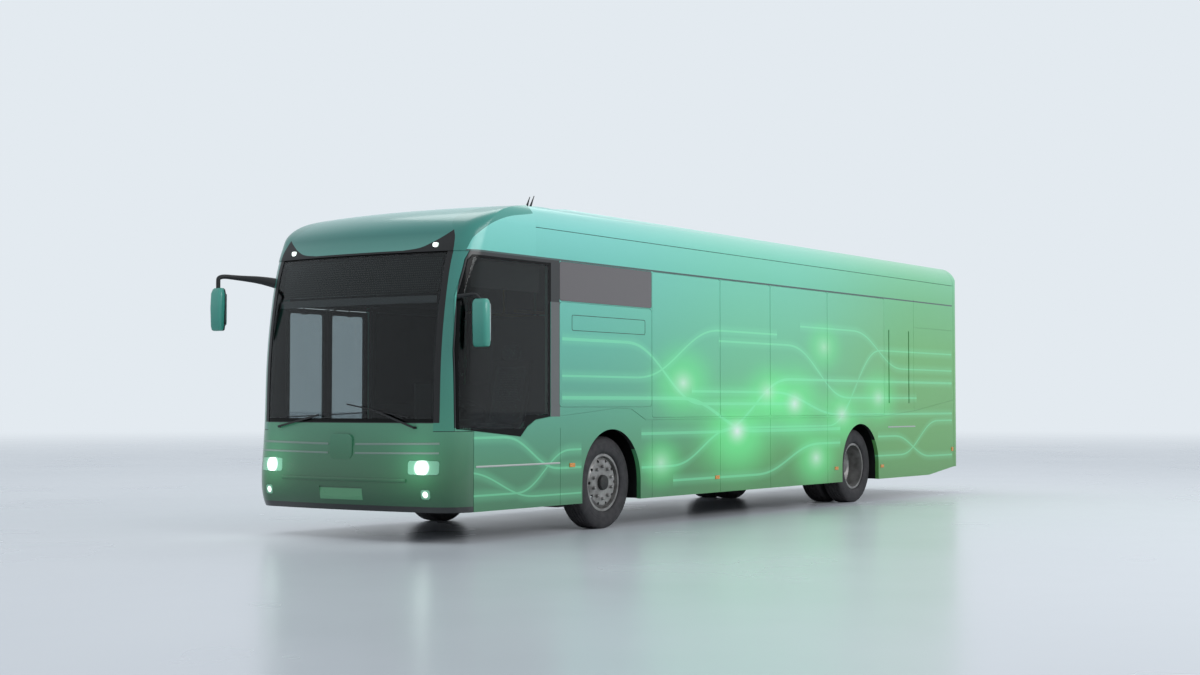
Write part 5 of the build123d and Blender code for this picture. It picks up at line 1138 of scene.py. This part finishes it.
DRIVER_PADS = (
    # name, length, width, thickness, station, height and pitch of its rear lower edge
    ("seat", 0.430, 0.450, 0.066, 0.040, 1.014, 2.6), ("back", 0.640, 0.440, 0.060, -0.012, 1.080, 103.5),
    ("head_rest", 0.165, 0.250, 0.066, -0.130, 1.742, 96.0),
)
for label, length, width, thick, x, z, pitch in DRIVER_PADS:
    foam = plumped(length, width, thick, DRIVER_VOXEL, DRIVER_CAP)
    place = set_down(DRIVER_X + x, DRIVER_Y, z, math.radians(pitch))
    cushion = piece(f"driver_{label}_cushion", laid((foam, place)), moquette, crease=SOFT_CREASE,
                    replaced="driver_seat")
    rounding = cushion.modifiers.new("smoothed", "SUBSURF")
    rounding.levels = rounding.render_levels = 1
    ring = rounded_ring(thick / 2, -WELT_OUT, length + WELT_OUT, -width / 2 - WELT_OUT, width / 2 + WELT_OUT,
                        PAD_CORNER)
    welt_path = [place @ Vector(point) for point in ring + ring[:2]]
    welt = tube(welt_path, [WELT_RADIUS] * len(welt_path))
    piece(f"driver_{label}_welt", welt, black_moulding, crease=SOFT_CREASE)

# Driver's side blind: dark woven cloth that hangs behind the upper part of the cab's window, from a roller at
# the window's head.
BLIND_REAR, BLIND_FRONT, BLIND_HEAD, BLIND_FOOT, BLIND_Y = 1.16, 2.25, 2.700, 2.400, 1.175
BLIND_COLUMNS, BLIND_ROWS, BLIND_FOLD, FOLD_TURNS, RIB_PITCH = 48, 10, 0.004, 26, 0.008
ROLLER_SPARE, ROLLER_MIDDLE, ROLLER_RADIUS = 0.02, 1.7, 0.016
grid_points, quads = [], []
for row in range(BLIND_ROWS + 1):
    for column in range(BLIND_COLUMNS + 1):
        x = BLIND_REAR + (BLIND_FRONT - BLIND_REAR) * column / BLIND_COLUMNS
        fold = BLIND_FOLD * math.sin(x * FOLD_TURNS) * row / BLIND_ROWS
        grid_points.append((AXLE_X + x, BLIND_Y + fold, BLIND_HEAD - (BLIND_HEAD - BLIND_FOOT) * row / BLIND_ROWS))
for row in range(BLIND_ROWS):
    for column in range(BLIND_COLUMNS):
        first = row * (BLIND_COLUMNS + 1) + column
        quads.append((first, first + 1, first + BLIND_COLUMNS + 2, first + BLIND_COLUMNS + 1))
blind_mesh = bpy.data.meshes.new("driver_blind")
blind_mesh.from_pydata(grid_points, [], quads)
blind_cloth, tree, _, axes = material("dark_woven_blind_cloth")
ribs = reckoned(tree, "SINE", reckoned(tree, "MULTIPLY", axes["Z"], 2 * math.pi / RIB_PITCH))
colour = ramp(tree, ranged(tree, ribs, -1.0, 1.0), ((0.0, "#5B5558"), (1.0, "#6E676A")))
surface(tree, {"Base Color": colour, "Roughness": 0.85,
               "Normal": add(tree, "ShaderNodeBump", {"Height": ribs, "Distance": 0.0006}).outputs["Normal"]})
blind = piece("driver_blind", blind_mesh, blind_cloth)
roller_path = [(x, BLIND_Y, BLIND_HEAD) for x in (BLIND_REAR - ROLLER_SPARE, ROLLER_MIDDLE, BLIND_FRONT + ROLLER_SPARE)]
piece("driver_blind_roller", tube(shifted(roller_path), [ROLLER_RADIUS] * 3), satin_black)

# Lamps: clear mouldings over bright lamps at the front, amber side markers, red clusters at the back. The lit
# lamp shows as a round spot in its lens, and a small lamp before each lens lights the panel round it.
LAMP_SPOTS = (
    # left, height, radius, strength
    (0.955, 0.7075, 0.060, 6.0), (0.996, 0.460, 0.024, 3.5), (0.911, 2.795, 0.03, 2.5),
)
SPOT_INNER, SPOT_OUTER = 0.35, 1.6
lit_lens, tree, _, axes = material("lit_clear_polycarbonate")
folded = add(tree, "ShaderNodeCombineXYZ", {1: reckoned(tree, "ABSOLUTE", axes["Y"]), 2: axes["Z"]}).outputs[0]
shine = 0.0
for y, z, radius, strength in LAMP_SPOTS:
    away = add(tree, "ShaderNodeVectorMath", {0: folded, 1: (0, y, z)}, operation="DISTANCE").outputs["Value"]
    spot = ranged(tree, away, radius * SPOT_INNER, radius * SPOT_OUTER, strength, 0.0, "SMOOTHERSTEP")
    shine = reckoned(tree, "ADD", shine, spot)
surface(tree, {"Base Color": linear("#6FA88A"), "Roughness": 0.12, "Coat Weight": 0.4, "Coat Roughness": 0.03,
               "Emission Color": linear("#F4FFFB"), "Emission Strength": shine})
dress(lit_lens, "headlamps")
MARKER = (0.911, 2.795, 0.030, 0.022)  # left of the middle, height, half its width and half its height
MARKER_BACK, MARKER_PROUD, MARKER_ROUND, MARKER_BEVEL = 0.03, 0.010, 0.015, 0.004
for side, sign in SIDES:
    y, z, half_wide, half_high = sign * MARKER[0], *MARKER[1:]
    lens_x = crown_face(y, z)
    lens = rounded_plate((lens_x - MARKER_BACK, y - half_wide, z - half_high),
                         (lens_x + MARKER_PROUD, y + half_wide, z + half_high), MARKER_ROUND)
    rim = piece(f"marker_lamp_{side}", lens, lit_lens, crease=ROUNDED_CREASE)
    rounding = rim.modifiers.new("soft_edge", "BEVEL")
    rounding.width, rounding.segments, rounding.limit_method = MARKER_BEVEL, 3, "ANGLE"
GLOW_AHEAD, GLOW_WATTS, GLOW_RADIUS, GLOW_TINT = 0.22, 3.0, 0.05, (0.9, 1.0, 0.95)
lamps_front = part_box("headlamps")[1].x
for sign in (1, -1):
    glow = bpy.data.lights.new("lamp_glow", "POINT")
    glow.energy, glow.shadow_soft_size, glow.color = GLOW_WATTS, GLOW_RADIUS, GLOW_TINT
    glow_at = placed("lamp_glow", glow)
    glow_at.location = (lamps_front + GLOW_AHEAD, sign * LAMP_SPOTS[0][0], LAMP_SPOTS[0][1])
    glow_at.visible_camera = glow_at.visible_glossy = glow_at.visible_transmission = False
amber_lens, tree, place, _ = material("amber_acrylic_lens")
rib = add(tree, "ShaderNodeTexWave", {"Vector": place, "Scale": 60.0})
ribbing = add(tree, "ShaderNodeBump", {"Height": rib.outputs["Fac"], "Distance": 0.001})
surface(tree, {"Base Color": linear("#E08C1E"), "Roughness": 0.18, "Coat Weight": 0.5,
               "Normal": ribbing.outputs["Normal"]})
dress(amber_lens, "side_markers")
red_lens, tree, place, _ = material("red_acrylic_lens")
cell = add(tree, "ShaderNodeTexVoronoi", {"Vector": place, "Scale": 45.0})
facets = add(tree, "ShaderNodeBump", {"Height": cell.outputs["Distance"], "Distance": 0.002})
surface(tree, {"Base Color": linear("#A01512"), "Roughness": 0.16, "Coat Weight": 0.6,
               "Normal": facets.outputs["Normal"]})
dress(red_lens, "tail_lamps")
